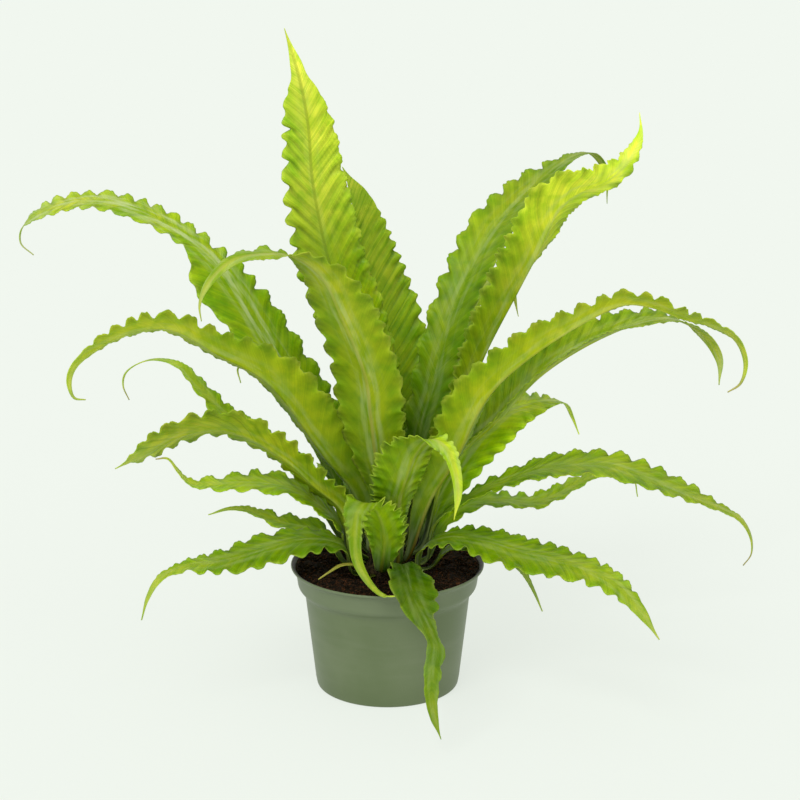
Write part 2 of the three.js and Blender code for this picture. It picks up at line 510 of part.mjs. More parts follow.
function fromManifold(solid) {
  const mesh = solid.getMesh();
  const geometry = new THREE.BufferGeometry();
  geometry.setAttribute('position', new THREE.Float32BufferAttribute(mesh.vertProperties, 3));
  geometry.setIndex(Array.from(mesh.triVerts));
  return geometry;
}

// Height at which the inner face of the rim starts to flare out at 45 degrees.
const FLARE_INNER_Z = POT_HEIGHT - (LIP_RADIUS - LIP_WIDTH - COLLAR_TOP_RADIUS + WALL);

// The radius of the pot's outer wall below the collar.
function wallRadius(z) {
  return FOOT_RADIUS + (WALL_TOP_RADIUS - FOOT_RADIUS) * (z / STEP_Z);
}

function potGeometry() {
  const ringInner = FOOT_RADIUS - FOOT_RING_WIDTH;
  const floorTop = FLOOR_Z + FLOOR_THICKNESS;
  const profile = [
    [0, 0], [HUB_RADIUS, 0], [HUB_RADIUS + 1.5, FLOOR_Z], [ringInner - 1.5, FLOOR_Z], [ringInner, 0],
    [FOOT_RADIUS - 2, 0], [FOOT_RADIUS - 0.6, 0.6], [wallRadius(2), 2],
    [WALL_TOP_RADIUS, STEP_Z], [COLLAR_FOOT_RADIUS - 1, COLLAR_FOOT_Z - 1.5],
    [COLLAR_FOOT_RADIUS, COLLAR_FOOT_Z], [COLLAR_TOP_RADIUS, FLARE_Z],
    [LIP_RADIUS, POT_HEIGHT - LIP_DEPTH], [LIP_RADIUS, POT_HEIGHT - 0.5],
    [LIP_RADIUS - 0.5, POT_HEIGHT], [LIP_RADIUS - LIP_WIDTH, POT_HEIGHT],
    [COLLAR_TOP_RADIUS - WALL, FLARE_INNER_Z], [COLLAR_FOOT_RADIUS - WALL, COLLAR_FOOT_Z],
    [WALL_TOP_RADIUS - WALL, STEP_Z],
    [wallRadius(floorTop + 2) - WALL, floorTop + 2], [wallRadius(floorTop) - WALL - 2, floorTop],
    [0, floorTop],
  ];
  let pot = toManifold(revolved(profile, POT_SEGMENTS));
  for (let i = 0; i < DRAIN_HOLES; i += 1) {
    const angle = ((i + 0.5) / DRAIN_HOLES) * 2 * Math.PI;
    const hole = new THREE.CylinderGeometry(DRAIN_RADIUS, DRAIN_RADIUS, 3 * floorTop, 12);
    hole.rotateX(Math.PI / 2);
    hole.translate(DRAIN_CIRCLE * Math.cos(angle), DRAIN_CIRCLE * Math.sin(angle), FLOOR_Z);
    hole.deleteAttribute('uv');
    hole.deleteAttribute('normal');
    pot = pot.subtract(toManifold(closed(hole)));
  }
  return fromManifold(pot);
}

// Height of the loose lumps of peat at a place on the soil.
function lump(x, y) {
  const wave = Math.sin(0.31 * x + 0.4) * Math.cos(0.27 * y) + Math.sin(0.17 * x - 0.23 * y + 1.3);
  const grain = Math.sin(0.71 * x + 0.63 * y) * Math.cos(0.83 * y - 0.35 * x);
  return SOIL_LUMP * (0.35 * wave + 0.3 * grain);
}

// The soil fills the pot to just under its rim and has a plain round hole for the crown.
function soilGeometry() {
  const inset = WALL + GAP;
  const floorTop = FLOOR_Z + FLOOR_THICKNESS;
  const hole = CROWN_RADIUS + GAP;
  const edge = COLLAR_TOP_RADIUS - WALL + SOIL_TOP - FLARE_INNER_Z - 1.5 * GAP;
  const rings = [34, 42, 50, 58, 65];
  const profile = [
    [0, floorTop + GAP], [wallRadius(floorTop) - inset - 2, floorTop + GAP],
    [wallRadius(floorTop + 2) - inset, floorTop + 2 + GAP],
    [WALL_TOP_RADIUS - inset, STEP_Z + GAP], [COLLAR_FOOT_RADIUS - inset, COLLAR_FOOT_Z + GAP],
    [COLLAR_TOP_RADIUS - inset, FLARE_INNER_Z + 0.5 * GAP], [edge, SOIL_TOP],
    ...rings.reverse().map((r) => [r, SOIL_TOP - SOIL_DIP * (1 - smooth(34, 50, r))]),
    [hole, SOIL_TOP - SOIL_DIP], [hole, CROWN_FOOT_Z - GAP], [0, CROWN_FOOT_Z - GAP],
  ];
  const geometry = revolved(profile, POT_SEGMENTS);
  const position = geometry.attributes.position;
  for (let i = 0; i < position.count; i += 1) {
    const [x, y, z] = [position.getX(i), position.getY(i), position.getZ(i)];
    const fromAxis = Math.hypot(x, y);
    const inField = fromAxis > hole + 1 && fromAxis < COLLAR_FOOT_RADIUS - inset;
    if (inField && z > SOIL_TOP - SOIL_DIP - 0.1) position.setZ(i, z + lump(x, y));
  }
  return geometry;
}

// The short upright rhizome that all the fronds grow from, a round head on a straight foot.
function crownGeometry() {
  const profile = [[0, CROWN_FOOT_Z], [CROWN_RADIUS - 2, CROWN_FOOT_Z], [CROWN_RADIUS, CROWN_FOOT_Z + 2]];
  for (let angle = 0; angle < 90; angle += 15) {
    const a = angle * RAD;
    profile.push([CROWN_RADIUS * Math.cos(a), CROWN_CENTRE_Z + CROWN_RADIUS * Math.sin(a)]);
  }
  profile.push([0, CROWN_CENTRE_Z + CROWN_RADIUS]);
  return revolved(profile, 24);
}

function material(colour, roughness) {
  return new THREE.MeshStandardMaterial({ color: colour, roughness, metalness: 0 });
}

const group = new THREE.Group();
group.name = 'potted_birds_nest_fern';

function addPart(name, geometry, look) {
  const mesh = new THREE.Mesh(geometry, look);
  mesh.name = name;
  group.add(mesh);
}

addPart('pot', potGeometry(), material(0x6e8468, 0.42));
addPart('soil', soilGeometry(), material(0x2a1c18, 0.95));
addPart('crown', crownGeometry(), material(0x4a3a24, 0.9));
FRONDS.forEach((frond) => {
  const colour = YOUNG.includes(frond.name) ? FRESH_GREEN : DEEP_GREEN;
  addPart(frond.name, frondGeometry(frond), material(colour, 0.4));
});

export default group;
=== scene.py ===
# A japanese bird's nest fern in a plastic nursery pot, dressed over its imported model. Metres, +Z up.
# The pot's axis is on Z, the pot stands on z = 0, and the viewer of the photograph is on the -Y side.
import itertools
import math
import random
import bpy
import numpy as np
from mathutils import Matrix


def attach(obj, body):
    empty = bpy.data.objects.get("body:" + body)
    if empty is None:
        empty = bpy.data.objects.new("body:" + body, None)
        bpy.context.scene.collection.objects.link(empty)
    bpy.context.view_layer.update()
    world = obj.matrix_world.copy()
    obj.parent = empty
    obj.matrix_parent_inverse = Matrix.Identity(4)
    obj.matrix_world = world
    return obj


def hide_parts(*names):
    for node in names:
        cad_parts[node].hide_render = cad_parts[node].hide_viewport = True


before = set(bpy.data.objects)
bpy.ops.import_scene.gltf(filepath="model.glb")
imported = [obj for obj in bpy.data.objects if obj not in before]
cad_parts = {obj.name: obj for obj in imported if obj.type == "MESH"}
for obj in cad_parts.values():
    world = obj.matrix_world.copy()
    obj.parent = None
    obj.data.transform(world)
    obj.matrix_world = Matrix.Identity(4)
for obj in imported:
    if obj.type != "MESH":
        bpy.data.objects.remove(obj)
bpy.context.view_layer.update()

MM = 0.001
RAD = math.pi / 180
TURN = 2 * math.pi

# The pot and what it holds, in millimetres as in the model
POT_HEIGHT = 100
LIP_RADIUS = 76.2
LIP_DEPTH = 1.6
LIP_WIDTH = 1.3
FLARE_Z = 95.5
COLLAR_TOP_RADIUS = 72.4
COLLAR_FOOT_RADIUS = 70.6
COLLAR_FOOT_Z = 82
STEP_Z = 77.5
WALL_TOP_RADIUS = 65.4
FOOT_RADIUS = 56.6
WALL = 1.5
FLOOR_Z = 3
FLOOR_THICKNESS = 2
FLOOR_TOP = FLOOR_Z + FLOOR_THICKNESS
FLOOR_SLOPE = 1.5
FOOT_RING_WIDTH = 6
HUB_RADIUS = 9
DRAIN_HOLES = 8
DRAIN_RADIUS = 4.5
DRAIN_CIRCLE = 38
FLARE_INNER_Z = POT_HEIGHT - (LIP_RADIUS - LIP_WIDTH - COLLAR_TOP_RADIUS + WALL)
# Painted shade: the height, in millimetres, below which the pot is darkened towards its foot
PAINTED_SHADE_FOOT = 30
# Painted light: the heights, in millimetres, over which the collar turns paler where it faces the light from
# above
PAINTED_LIGHT_COLLAR = (76, 90)
POT_SEGMENTS = 144
DRAIN_SEGMENTS = 24
GAP = 0.3
SOIL_TOP = 98
SOIL_DIP = 4.5
SOIL_DIP_RADII = (34, 50)
SOIL_RING_STEP = 1.6
CRUMBS = 2600
CROWN_RADIUS = 22
CROWN_CENTRE_Z = 92
CROWN_FOOT_Z = 80
HEAD_RADIUS = CROWN_RADIUS - 0.6
CROWN_SEGMENTS = 60
SCALE_ROWS = 12

# The soil's lumps as (height, length, seed), each set a sum of so many sines
SOIL_LUMPS = [(0.495, 16, 3), (0.405, 7, 4), (0.27, 3.6, 5)]
SINES = 9

# The fronds, in millimetres
STALK_LENGTH = 12
STALK_HALF_WIDTH = 2.6
TIP_HALF_WIDTH = 0.6
BLADE_HALF_THICKNESS = 0.28
STALK_HALF_THICKNESS = 1.4
RIB_HEIGHT = 1.3
RIB_UNDER = 0.25
RIB_HALF_WIDTH = 1.5
STEP_ALONG = 1.3
FINE_STEP = 0.8
CURVE_STEPS = 80
COLUMNS = 25
WAVY_WIDTHS = (5, 20)
FRILLED_WIDTHS = (3, 12)
WAVE_LEAN = 0.3
PLEAT_LEAN = 1.25
PLEAT_LENGTH = 11
CRINKLE_LENGTH = 5
CRINKLE_REACH = 0.7
LEAST_REACH = 0.5
SCALLOP = 1.7

# Powers of the share of a half width: the higher, the closer to the margin something keeps
COLUMNS_POWER = 1.25
RISE_POWER = 3.2
LOBE_POWER = 5
CRINKLE_POWER = 6
PALE_POWER = 16

# Random waves: how far they run past both ends of a frond, the ranges that their steps and heights are
# multiplied by, and their length where a blade is narrowest, as a share of that where it is widest
WAVE_LEAD = 60
WAVE_LAG = 10
UNEVEN_STEPS = (0.65, 1.4)
UNEVEN_HEIGHTS = (0.45, 1.25)
SHORT_WAVES = 0.62

# Where along a frond something sets in or ends, as shares of its length
STALK_ENDS = (0.03, 0.12)
# Where the painted shade on the stalk near the crown fades out
STALK_SHADE_ENDS = (0.06, 0.2)
WINGS_START = (0.05, 0.12)
WINGS_END = (0.2, 0.36)
WAVES_START = (0.1, 0.25)
CALMING = 0.12
TAIL_SLIMS = (0.72, 0.86)
TIP_SLIMS = (0.92, 1)
TIP_DRIES = (0.95, 0.98)
# Where the painted light or shade of a frond's base ends and that of its tail starts
BASE_LIGHT_ENDS = (0.1, 0.4)
TAIL_LIGHT_STARTS = (0.55, 0.8)
COLOUR_STOPS = (0, 0.5, 0.86, 1)

# Shares that shape or tint a frond
FINE_TIP = 0.65
COLOUR_DRIFT = 0.05
MARGIN_DRIFT = 0.03
# Painted light on crests and painted shade in troughs, as shares of how far a blade stands out
CREST_LIGHT = 0.38
TROUGH_SHADE = 0.5
# Painted shade: how much darker the stalk is at the crown, where it stands in shade
STALK_SHADE = 0.8
LATE_TIP = 0.45
HALVES_MEET = 0.12
OUTER_SHARES = (0.25, 0.85)
OUTER_TINT = (0.8, 0.9, 0.6)
# Painted highlight: the pale colour of the sheen streaks beside the midrib
PAINTED_SHEEN = (0.56, 0.65, 0.3, 1.0)
LEAF_GLOW = 0.22
VEIN_SCALE = 250.0
FINE_VEIN_SCALE = 900.0

# The photograph's camera and studio
CAMERA_PLACE = (0.0099, -1.6, 0.682)
CAMERA_PITCH = 15.67
FOCAL_PIXELS = 2148
FRAME_PIXELS = 800
SENSOR = 36
FLOOR_HALF = 40
FLOOR_COLOUR = (0.887, 0.935, 0.872)
FLOOR_GLOW = 0.75
FLOOR_LIGHT = 1.2
SKY_COLOUR = (0.99, 1.0, 0.98, 1.0)
SKY_STRENGTH = 0.72

# Leaf colours on the upper and the under side and on the midrib, as (base, middle, tip), each an
# 8-bit display colour
WITHERED = [(124, 118, 36), (164, 156, 62), (186, 174, 98)]
TONES = {
    "deep": {
        "upper": [(86, 128, 2), (140, 166, 8), (190, 198, 62)],
        "under": [(124, 147, 8), (162, 176, 22), (196, 202, 74)],
        "rib": [(134, 152, 40), (156, 174, 64), (186, 196, 84)],
    },
    "lush": {
        "upper": [(78, 124, 2), (134, 164, 6), (180, 196, 52)],
        "under": [(96, 134, 2), (134, 162, 6), (180, 196, 52)],
        "rib": [(150, 112, 34), (164, 168, 54), (206, 194, 80)],
    },
    "fresh": {
        "upper": [(86, 130, 2), (152, 174, 10), (198, 206, 66)],
        "under": [(100, 138, 2), (164, 179, 16), (204, 211, 74)],
        "rib": [(150, 100, 30), (176, 180, 80), (198, 202, 84)],
    },
    "bright": {
        "upper": [(132, 160, 4), (166, 186, 4), (242, 244, 100)],
        "under": [(140, 160, 6), (174, 190, 10), (236, 240, 90)],
        "rib": [(130, 152, 36), (112, 144, 4), (216, 224, 70)],
    },
    "withered": {"upper": WITHERED, "under": WITHERED, "rib": WITHERED},
}
PALE_MARGIN = (206, 218, 96)
DRY_TIP = (160, 128, 108)

# How a frond looks where nothing else is said: its tone, how light it is as a whole, at its base and
# its tail, on its left and right halves and on its upper and under faces, which is partly its own tone
# and partly painted light and shade for how light falls on it, how strongly its midrib, the painted
# highlight of pale sheen beside it and its slanting veins show, how much wider it is near its foot to the
# left and right, the heights of its pleats and of its margins' crinkles, the share of its length from
# which its margins calm down, how dry its tip is, how slim its tail is, and each margin's waves: rise out
# of the blade, depth along it and length. Widths, heights and lengths are in millimetres. A margin whose
# rise is below 0 curls down. The veins of a one_way frond all slant from its left margin.
PLAIN_LOOK = dict(
    tone="deep", light=1.02, ends=(1.0, 1.0), halves=(1.0, 1.0), faces=(1.0, 1.0), rib=0.2, sheen=0.3,
    veins=0.45, wings=(0, 0), pleat=0.5, frill=0.5, calm=0.8, dry=0.0, slim=1.0, one_way=False,
    left=(1.5, 1.8, 15), right=(1.5, 1.8, 15),
)


# The outline of a strap-shaped blade: half widths left and right of the midrib, fold and roll.
def leaf(left, right, fold, roll):
    shares = [(0.1, 0.3), (0.22, 0.76), (0.38, 1), (0.55, 0.95), (0.7, 0.62), (0.82, 0.34),
              (0.92, 0.16), (0.97, 0.09), (1, 0.03)]
    return [(t, left * share, right * share, fold, fold, roll) for t, share in shares]


# One frond. seat is its place on the crown (degrees from the top, degrees round from +X towards +Y),
# heading is the way its upper side leans out, and spine is the run of its midrib past the stalk, in
# millimetres. Each of its rows gives a share of the length, the half widths left and right of the
# midrib, how far each half folds up, and the roll, in degrees. A short row keeps the folds and the roll
# of the row before. Where no row is at the stalk's foot or at the tip, the usual one is added.
def frond(name, seed, seat, heading, spine, rows, **look):
    full = []
    for row in rows:
        full.append(row if len(row) > 3 else (*row, *full[-1][3:]))
    if full[0][0] > 0:
        full.insert(0, (0, STALK_HALF_WIDTH, STALK_HALF_WIDTH, *full[0][3:]))
    if full[-1][0] < 1:
        full.append((1, TIP_HALF_WIDTH, TIP_HALF_WIDTH, *full[-1][3:]))
    return dict(name=name, seed=seed, seat=seat, heading=heading, spine=spine, rows=full,
                look={**PLAIN_LOOK, **look})


FRONDS = [
    frond("frond_left_high", 11, seat=(42, 152), heading=150, spine=[
        (-29, 14, 172), (-64, 30, 223), (-93, 43, 268), (-120, 56, 309), (-139, 65, 332), (-161, 75, 348),
        (-200, 93, 365), (-238, 111, 369), (-279, 130, 358), (-301, 140, 341), (-303, 141, 328),
        (-292, 136, 319),
    ], rows=[
        (0.09, 9, 10, 12, 12, 0), (0.2, 19, 22, 8, 12, -8), (0.32, 25, 24, 2, 10, -14),
        (0.43, 27.5, 21, 0, 10, -15), (0.5, 33, 16, -5, 10, -15), (0.54, 28, 12, -3, 8, -15),
        (0.58, 13, 11, 0, 5, -15), (0.7, 12, 12, 0, 0, -20), (0.8, 11, 11, 0, 0, -24),
        (0.87, 10, 10, 0, 0, -32), (0.92, 6, 6, 0, 0, -34), (0.95, 2, 2, 0, 0, -20),
        (1, 0.6, 0.6, 0, 0, 0),
    ], light=1.25, rib=0.1, sheen=1.0, calm=0.88, dry=0.5, left=(-0.7, 1.3, 20), right=(2.0, 2.2, 19)),
    frond("frond_left_middle", 12, seat=(52, 205), heading=200, spine=[
        (-24, -5, 154), (-49, -14, 193), (-90, -31, 255.5), (-125, -46, 281), (-160, -58, 304),
        (-181, -66, 305), (-205, -75, 298), (-227, -83, 283), (-232, -84, 271), (-229, -83, 258),
        (-221, -81, 256),
    ], rows=[
        (0, 2.6, 2.6, 20, 20, 20), (0.08, 8, 6, 30, 30, 30), (0.18, 22, 7, 35, 30, 38),
        (0.3, 28, 11, 35, 30, 42), (0.42, 27, 17), (0.55, 21, 17, 35, 25, 38),
        (0.66, 14.5, 13, 32, 10, 30), (0.76, 16, 11, 30, -5, 22), (0.84, 11, 8, 20, -5, 28),
        (0.9, 6, 5, 5, 0, 40), (0.95, 3.4, 3.4, 0, 0, 45), (1, 0.8, 0.8),
    ], tone="fresh", light=1.07, ends=(0.98, 1.2), rib=0.0, veins=0.15, pleat=0.15, dry=0.3,
      left=(1.5, 2.0, 17), right=(-0.6, 0.8, 17)),
    frond("frond_centre_left", 13, seat=(40, 236), heading=250, spine=[
        (-2, -26.4, 164), (-8, -34.4, 194.7), (-12, -40.4, 230.7), (-16, -43.4, 264), (-33, -52, 311),
        (-47, -60, 343), (-66, -64, 359), (-90, -67, 362), (-112, -70, 358), (-130, -74, 341),
        (-136, -76, 326), (-135, -76, 314),
    ], rows=[
        (0.1, 9, 9, 12, 12, 0), (0.22, 19, 20), (0.35, 25, 28.5, 12, 10, 0), (0.47, 26, 27.5, 10, 10, 0),
        (0.57, 27, 24.5), (0.64, 21, 20, 8, 8, 0), (0.7, 14, 14, 5, 5, -6), (0.75, 12.5, 12.5, 0, 0, -13),
        (0.8, 9.5, 9.5, 0, 0, -8), (0.85, 5.5, 5.5, 0, 0, 0), (0.9, 3.8, 3.8), (0.95, 2, 2),
    ], tone="fresh", light=0.95, ends=(0.74, 1.1), halves=(1.0, 0.78), rib=0.5, sheen=0.45, veins=0.12,
      pleat=0.2, left=(1.1, 1.6, 13), right=(1.4, 3.2, 20)),
    frond("frond_tallest", 14, seat=(14, 185), heading=105, spine=[
        (-3, 4, 175), (-12, 8, 231), (-29, 14, 293), (-45, 18, 340), (-57, 24, 400), (-60, 28, 442),
        (-66, 30, 476), (-77, 30, 515),
    ], rows=[
        (0.1, 8, 8, 10, 10, 0), (0.22, 15, 19), (0.38, 21, 27), (0.55, 25, 28), (0.66, 24, 27),
        (0.74, 20.5, 24, 8, 8, 0), (0.81, 18.5, 19.5), (0.86, 16, 14.5, 5, 5, 0),
        (0.885, 11.5, 11, 0, 0, 0), (0.91, 6, 6.5), (0.94, 4, 5.2), (0.97, 2.4, 3.2),
    ], tone="bright", light=0.8, ends=(1.35, 1.4), halves=(0.86, 1.06), rib=0.6, sheen=0.1, veins=0.5,
      pleat=1.4, left=(1.6, 3.8, 16), right=(1.2, 1.2, 15)),
    frond("frond_behind_tallest", 15, seat=(16, 80), heading=110, spine=[
        (8, 21.7, 144), (9, 46, 201), (5, 66, 262), (-8, 80, 320), (-20, 90, 369), (-36, 96, 399),
    ], rows=[
        (0.1, 8, 8, 10, 10, 0), (0.22, 20, 16), (0.38, 26, 23), (0.55, 25, 26), (0.7, 18.5, 21),
        (0.82, 13, 14), (0.92, 7.5, 7.5), (0.97, 3.6, 3.6, 5, 5, 0), (1, 0.6, 0.6, 0, 0, 0),
    ], light=1.26, ends=(0.85, 0.95), rib=0.0, sheen=0.0, veins=0.8, pleat=1.6, one_way=True,
      left=(1.3, 1.4, 13), right=(1.3, 1.7, 12)),
    frond("frond_right_back", 16, seat=(38, 36), heading=60, spine=[
        (24, 11, 190), (37, 24, 243), (50, 35, 290), (73, 57, 339), (90, 74, 361), (135, 113, 395),
        (153, 128, 403), (168, 141, 402), (179, 150, 386), (181, 152, 359),
    ], rows=[
        (0.1, 7, 8, 12, 12, 0), (0.22, 14, 18), (0.36, 17.5, 20, 10, 10, 0), (0.5, 19, 19),
        (0.6, 20.5, 20, 8, 8, 0), (0.7, 19.5, 15, 5, 5, 0), (0.79, 15.5, 10, 0, 0, 0), (0.87, 10, 7),
        (0.94, 5, 5),
    ], ends=(0.82, 0.8), halves=(1.08, 0.78), rib=0.0, veins=0.3, slim=0.55,
      left=(1.5, 2.4, 21), right=(1.0, 1.2, 13)),
    frond("frond_right_tip", 17, seat=(28, 335), heading=350, spine=[
        (41, -5, 186), (60, -7, 234), (76, -9, 275), (101, -12, 326), (115, -14, 355), (127, -16, 384),
        (140, -17, 397), (163, -20, 408), (179, -22, 424), (187, -23, 444), (186, -23, 459),
    ], rows=[
        (0, 2.6, 2.6, 20, 20, -20), (0.08, 6, 7, 30, 30, -25), (0.2, 12, 14, 35, 38, -25),
        (0.35, 16, 15, 35, 40, -25), (0.42, 17, 18.5), (0.5, 18, 23), (0.6, 18, 28, 30, 36, -25),
        (0.68, 20, 30, 6, 32, -25), (0.77, 17, 28, -14, 30, -22), (0.84, 13, 20, -15, 20, -25),
        (0.9, 6.5, 8.5, -5, 5, -60), (0.95, 4, 4, 0, 0, -80), (0.975, 2, 2),
    ], tone="bright", light=0.75, ends=(1.6, 1.9), rib=0.0, sheen=0.4, veins=0.3, frill=0.9, calm=0.96,
      left=(1.8, 3.8, 19), right=(1.0, 1.5, 16)),
    frond("frond_right_long", 18, seat=(54, 306), heading=335, spine=[
        (33, -32, 162), (52, -40, 197), (75, -47, 248), (104, -53, 279), (149, -59, 311), (175, -61, 323),
        (196, -62, 321), (217.5, -63, 313), (239, -64, 307.5), (257, -66, 298.5), (265, -66, 280.5),
        (262, -65, 264), (253, -64, 257),
    ], rows=[
        (0, 2.6, 2.6, 20, 20, -20), (0.08, 6, 7, 30, 30, -25), (0.2, 12, 18, 30, 38, -25),
        (0.32, 17, 25.5, 30, 40, -25), (0.42, 15, 22.5), (0.52, 13, 18.5), (0.6, 12, 13.5, 25, 38, -24),
        (0.67, 12, 11.5, 10, 36, -22), (0.74, 11, 13.5, 0, 34, -20), (0.82, 9, 9, 0, 20, -24),
        (0.88, 6, 6, 0, 5, -38), (0.93, 3.6, 3.6, 0, 0, -45), (0.97, 2.2, 2.2), (1, 0.8, 0.8),
    ], tone="fresh", light=1.13, ends=(0.92, 1.0), rib=0.3, veins=0.12, pleat=0.2, dry=0.8,
      left=(0.3, 0.0, 15), right=(1.3, 2.0, 17)),
    frond("frond_right_under", 19, seat=(54, 8), heading=12, spine=[
        (47, 16, 171), (87, 26, 209), (120, 33, 243), (158, 40, 267), (199, 48, 283), (217, 52, 285),
        (234, 56, 281.5), (254.5, 60, 267), (265.5, 63, 248), (266, 63, 228),
    ], rows=[
        (0, 2.6, 2.6, 20, 20, 0), (0.1, 6, 5, 25, 25, 0), (0.2, 12, 9, 35, 30, 0),
        (0.3, 20, 13, 38, 32, 0), (0.42, 25, 15), (0.54, 24, 14, 38, 30, 0), (0.65, 20, 12, 34, 28, 0),
        (0.71, 16, 13, 28, 4, 0), (0.77, 12, 11, 20, 0, 0), (0.85, 9, 7.5, 10, 0, -20),
        (0.91, 5, 5, 0, 0, -38), (0.96, 3.4, 3.4, 0, 0, -45), (1, 0.8, 0.8),
    ], light=1.13, ends=(1.55, 0.8), sheen=0.6, left=(1.3, 1.9, 17), right=(0.3, 0.4, 15)),
    frond("frond_front_short", 20, seat=(58, 286), heading=285, spine=[
        (8, -31, 135.7), (9, -40, 160), (14, -52, 185), (22, -60, 209), (34, -69, 222), (45, -75, 216),
        (51, -79, 201), (53, -82, 183), (50, -85, 164),
    ], rows=[
        (0.12, 5, 8, 12, 12, 0), (0.27, 8.5, 17), (0.41, 14, 24, 10, 10, 0), (0.53, 15, 27, 10, 8, 0),
        (0.6, 11, 23, 5, 5, 0), (0.66, 8.5, 11, 0, 0, 0), (0.76, 5.5, 5.5), (0.9, 3.2, 3.2),
    ], tone="lush", light=1.15, ends=(1.0, 1.4), halves=(1.15, 0.95), rib=0.3, sheen=0.5, veins=0.2,
      frill=1.2, calm=0.74, left=(1.2, 1.2, 10), right=(1.2, 1.4, 9)),
    frond("frond_front_curl", 21, seat=(68, 262), heading=262, spine=[
        (-2, -38, 129), (-4, -47, 149), (-9, -56, 164), (-16, -63, 170), (-22, -69, 165), (-24, -74, 147),
        (-22, -78, 129), (-13, -82, 113), (-3, -86, 105), (10, -90, 106),
    ], rows=[
        (0.1, 7, 7, 12, 12, 0), (0.2, 14, 13), (0.3, 17, 16, 10, 10, 0), (0.38, 15, 15, 5, 5, 0),
        (0.46, 11, 13, 0, 0, 0), (0.54, 8, 10), (0.63, 5.5, 5.5), (0.75, 4, 4), (0.87, 2.3, 2.3),
    ], tone="lush", light=1.5, ends=(0.62, 1.0), faces=(0.62, 1.32), rib=0.15, sheen=0.2, veins=0.2,
      frill=1.9, calm=0.58, left=(1.8, 1.6, 9), right=(1.8, 1.6, 9)),
    frond("frond_right_middle", 22, seat=(62, 30), heading=27, spine=[
        (41, 25, 143.4), (55, 31, 170), (68, 37, 189), (82, 44, 203), (96, 50, 212), (114, 58, 215),
        (132, 67, 214), (144, 74, 209), (150, 76, 197), (156, 79, 182),
    ], rows=[
        (0, 2.6, 2.6, 12, 12, 0), (0.1, 4, 5, 12, 10, 10), (0.25, 10, 13, 10, 5, 28),
        (0.4, 13, 21, 8, 0, 34), (0.55, 13, 25, 5, 0, 32), (0.68, 12, 20, 5, 0, 26),
        (0.78, 8.5, 11, 0, 0, 15), (0.85, 5, 5, 0, 0, 0), (0.93, 2.8, 2.8),
    ], light=2.15, ends=(1.1, 0.72), rib=0.3, sheen=0.9, wings=(5, 5), left=(1.4, 1.6, 12),
      right=(1.5, 1.8, 13)),
    frond("frond_right_low", 23, seat=(68, 342), heading=336, spine=[
        (37, -12, 136), (64, -26, 164), (93, -40, 181), (119, -53, 194), (159, -71, 203), (184, -82, 200),
        (221, -98, 189), (240, -107, 183), (258, -115, 175), (265.5, -119, 163), (266.5, -120, 150),
        (261.5, -117, 140),
    ], rows=[
        (0.1, 4, 4.5, 4, 4, 10), (0.22, 9, 13), (0.38, 20, 20), (0.55, 19.5, 20.5), (0.7, 15, 15),
        (0.78, 10, 9, 4, 4, 8), (0.84, 6, 5.5, 0, 0, 4), (0.92, 2.6, 2.6, 0, 0, 0),
    ], ends=(1.5, 0.9), calm=0.84, dry=0.8, left=(1.3, 1.7, 17), right=(-0.8, 1.4, 17)),
    frond("frond_right_small", 24, seat=(72, 8), heading=14, spine=[
        (42, 5, 126), (65, 11, 144.5), (92, 19, 145), (115, 27, 141), (135, 33, 145.5), (154, 38, 154.5),
        (180, 45, 161.5), (197, 49, 156), (202, 50, 138),
    ], rows=leaf(12, 12, 6, 8), light=1.2, ends=(2.7, 0.85), calm=0.88, left=(1.5, 1.7, 16),
      right=(-1.3, 1.7, 17)),
    frond("frond_right_droop", 25, seat=(78, 312), heading=325, spine=[
        (27, -27, 121), (48, -41, 135.3), (70, -53, 137), (92, -67, 135), (126, -88, 134),
        (155, -108, 130), (171, -120, 123), (185, -130, 110), (199, -140, 91),
    ], rows=[
        (0.1, 5, 2.5, 0, 0, 12), (0.22, 14, 7), (0.38, 19, 19), (0.55, 18, 24), (0.7, 14, 16),
        (0.82, 10, 9.5), (0.92, 5.5, 5.5, 0, 0, 6), (0.97, 2.8, 2.8, 0, 0, 0),
    ], light=0.97, ends=(0.85, 1.12), wings=(0, 6), left=(1.1, 1.2, 15), right=(-1.2, 2.4, 17)),
    frond("frond_right_tail", 26, seat=(80, 348), heading=345, spine=[
        (49, -13, 116), (80, -21, 119), (96, -26, 112), (106, -28, 101), (114, -31, 87), (121, -32, 71),
    ], rows=leaf(9, 9, 8, 8)),
    frond("frond_over_rim", 27, seat=(80, 290), heading=285, spine=[
        (12, -44, 114), (16, -70, 112), (20, -94, 107), (25, -108, 99), (32, -120, 89), (36, -128, 80),
        (34, -136, 66), (33, -144, 46), (35, -148, 33), (40, -151, 17),
    ], rows=[
        (0, 2.6, 2.6, 12, 12, 0), (0.12, 5, 5, 15, 12, 0), (0.24, 11, 12, 12, 20, 0),
        (0.34, 17, 18, 12, 25, 0), (0.42, 17, 17, 10, 18, 0), (0.49, 14, 12, 8, 8, 0),
        (0.55, 8, 8, 0, 0, 0), (0.6, 5, 5), (0.68, 6.5, 6.5), (0.8, 5.5, 5.5), (0.92, 3, 3),
    ], tone="lush", light=0.48, ends=(0.62, 1.35), rib=0.0, sheen=0.2, veins=0.25, frill=0.25,
      left=(-1.8, 2.4, 21), right=(1.5, 1.6, 19)),
    frond("frond_left_droop", 28, seat=(78, 216), heading=205, spine=[
        (-34, -25, 123), (-58, -33, 131), (-90, -43, 128), (-123, -58, 122), (-156, -73, 122),
        (-171, -80, 116), (-180, -84, 102), (-185, -86, 85),
    ], rows=[
        (0.1, 6, 5, 0, 0, -14), (0.22, 15, 13), (0.38, 20, 17), (0.52, 18, 16), (0.64, 13, 12),
        (0.72, 8.5, 8), (0.78, 5.6, 5.6, 0, 0, -10), (0.9, 3.8, 3.8, 0, 0, 0),
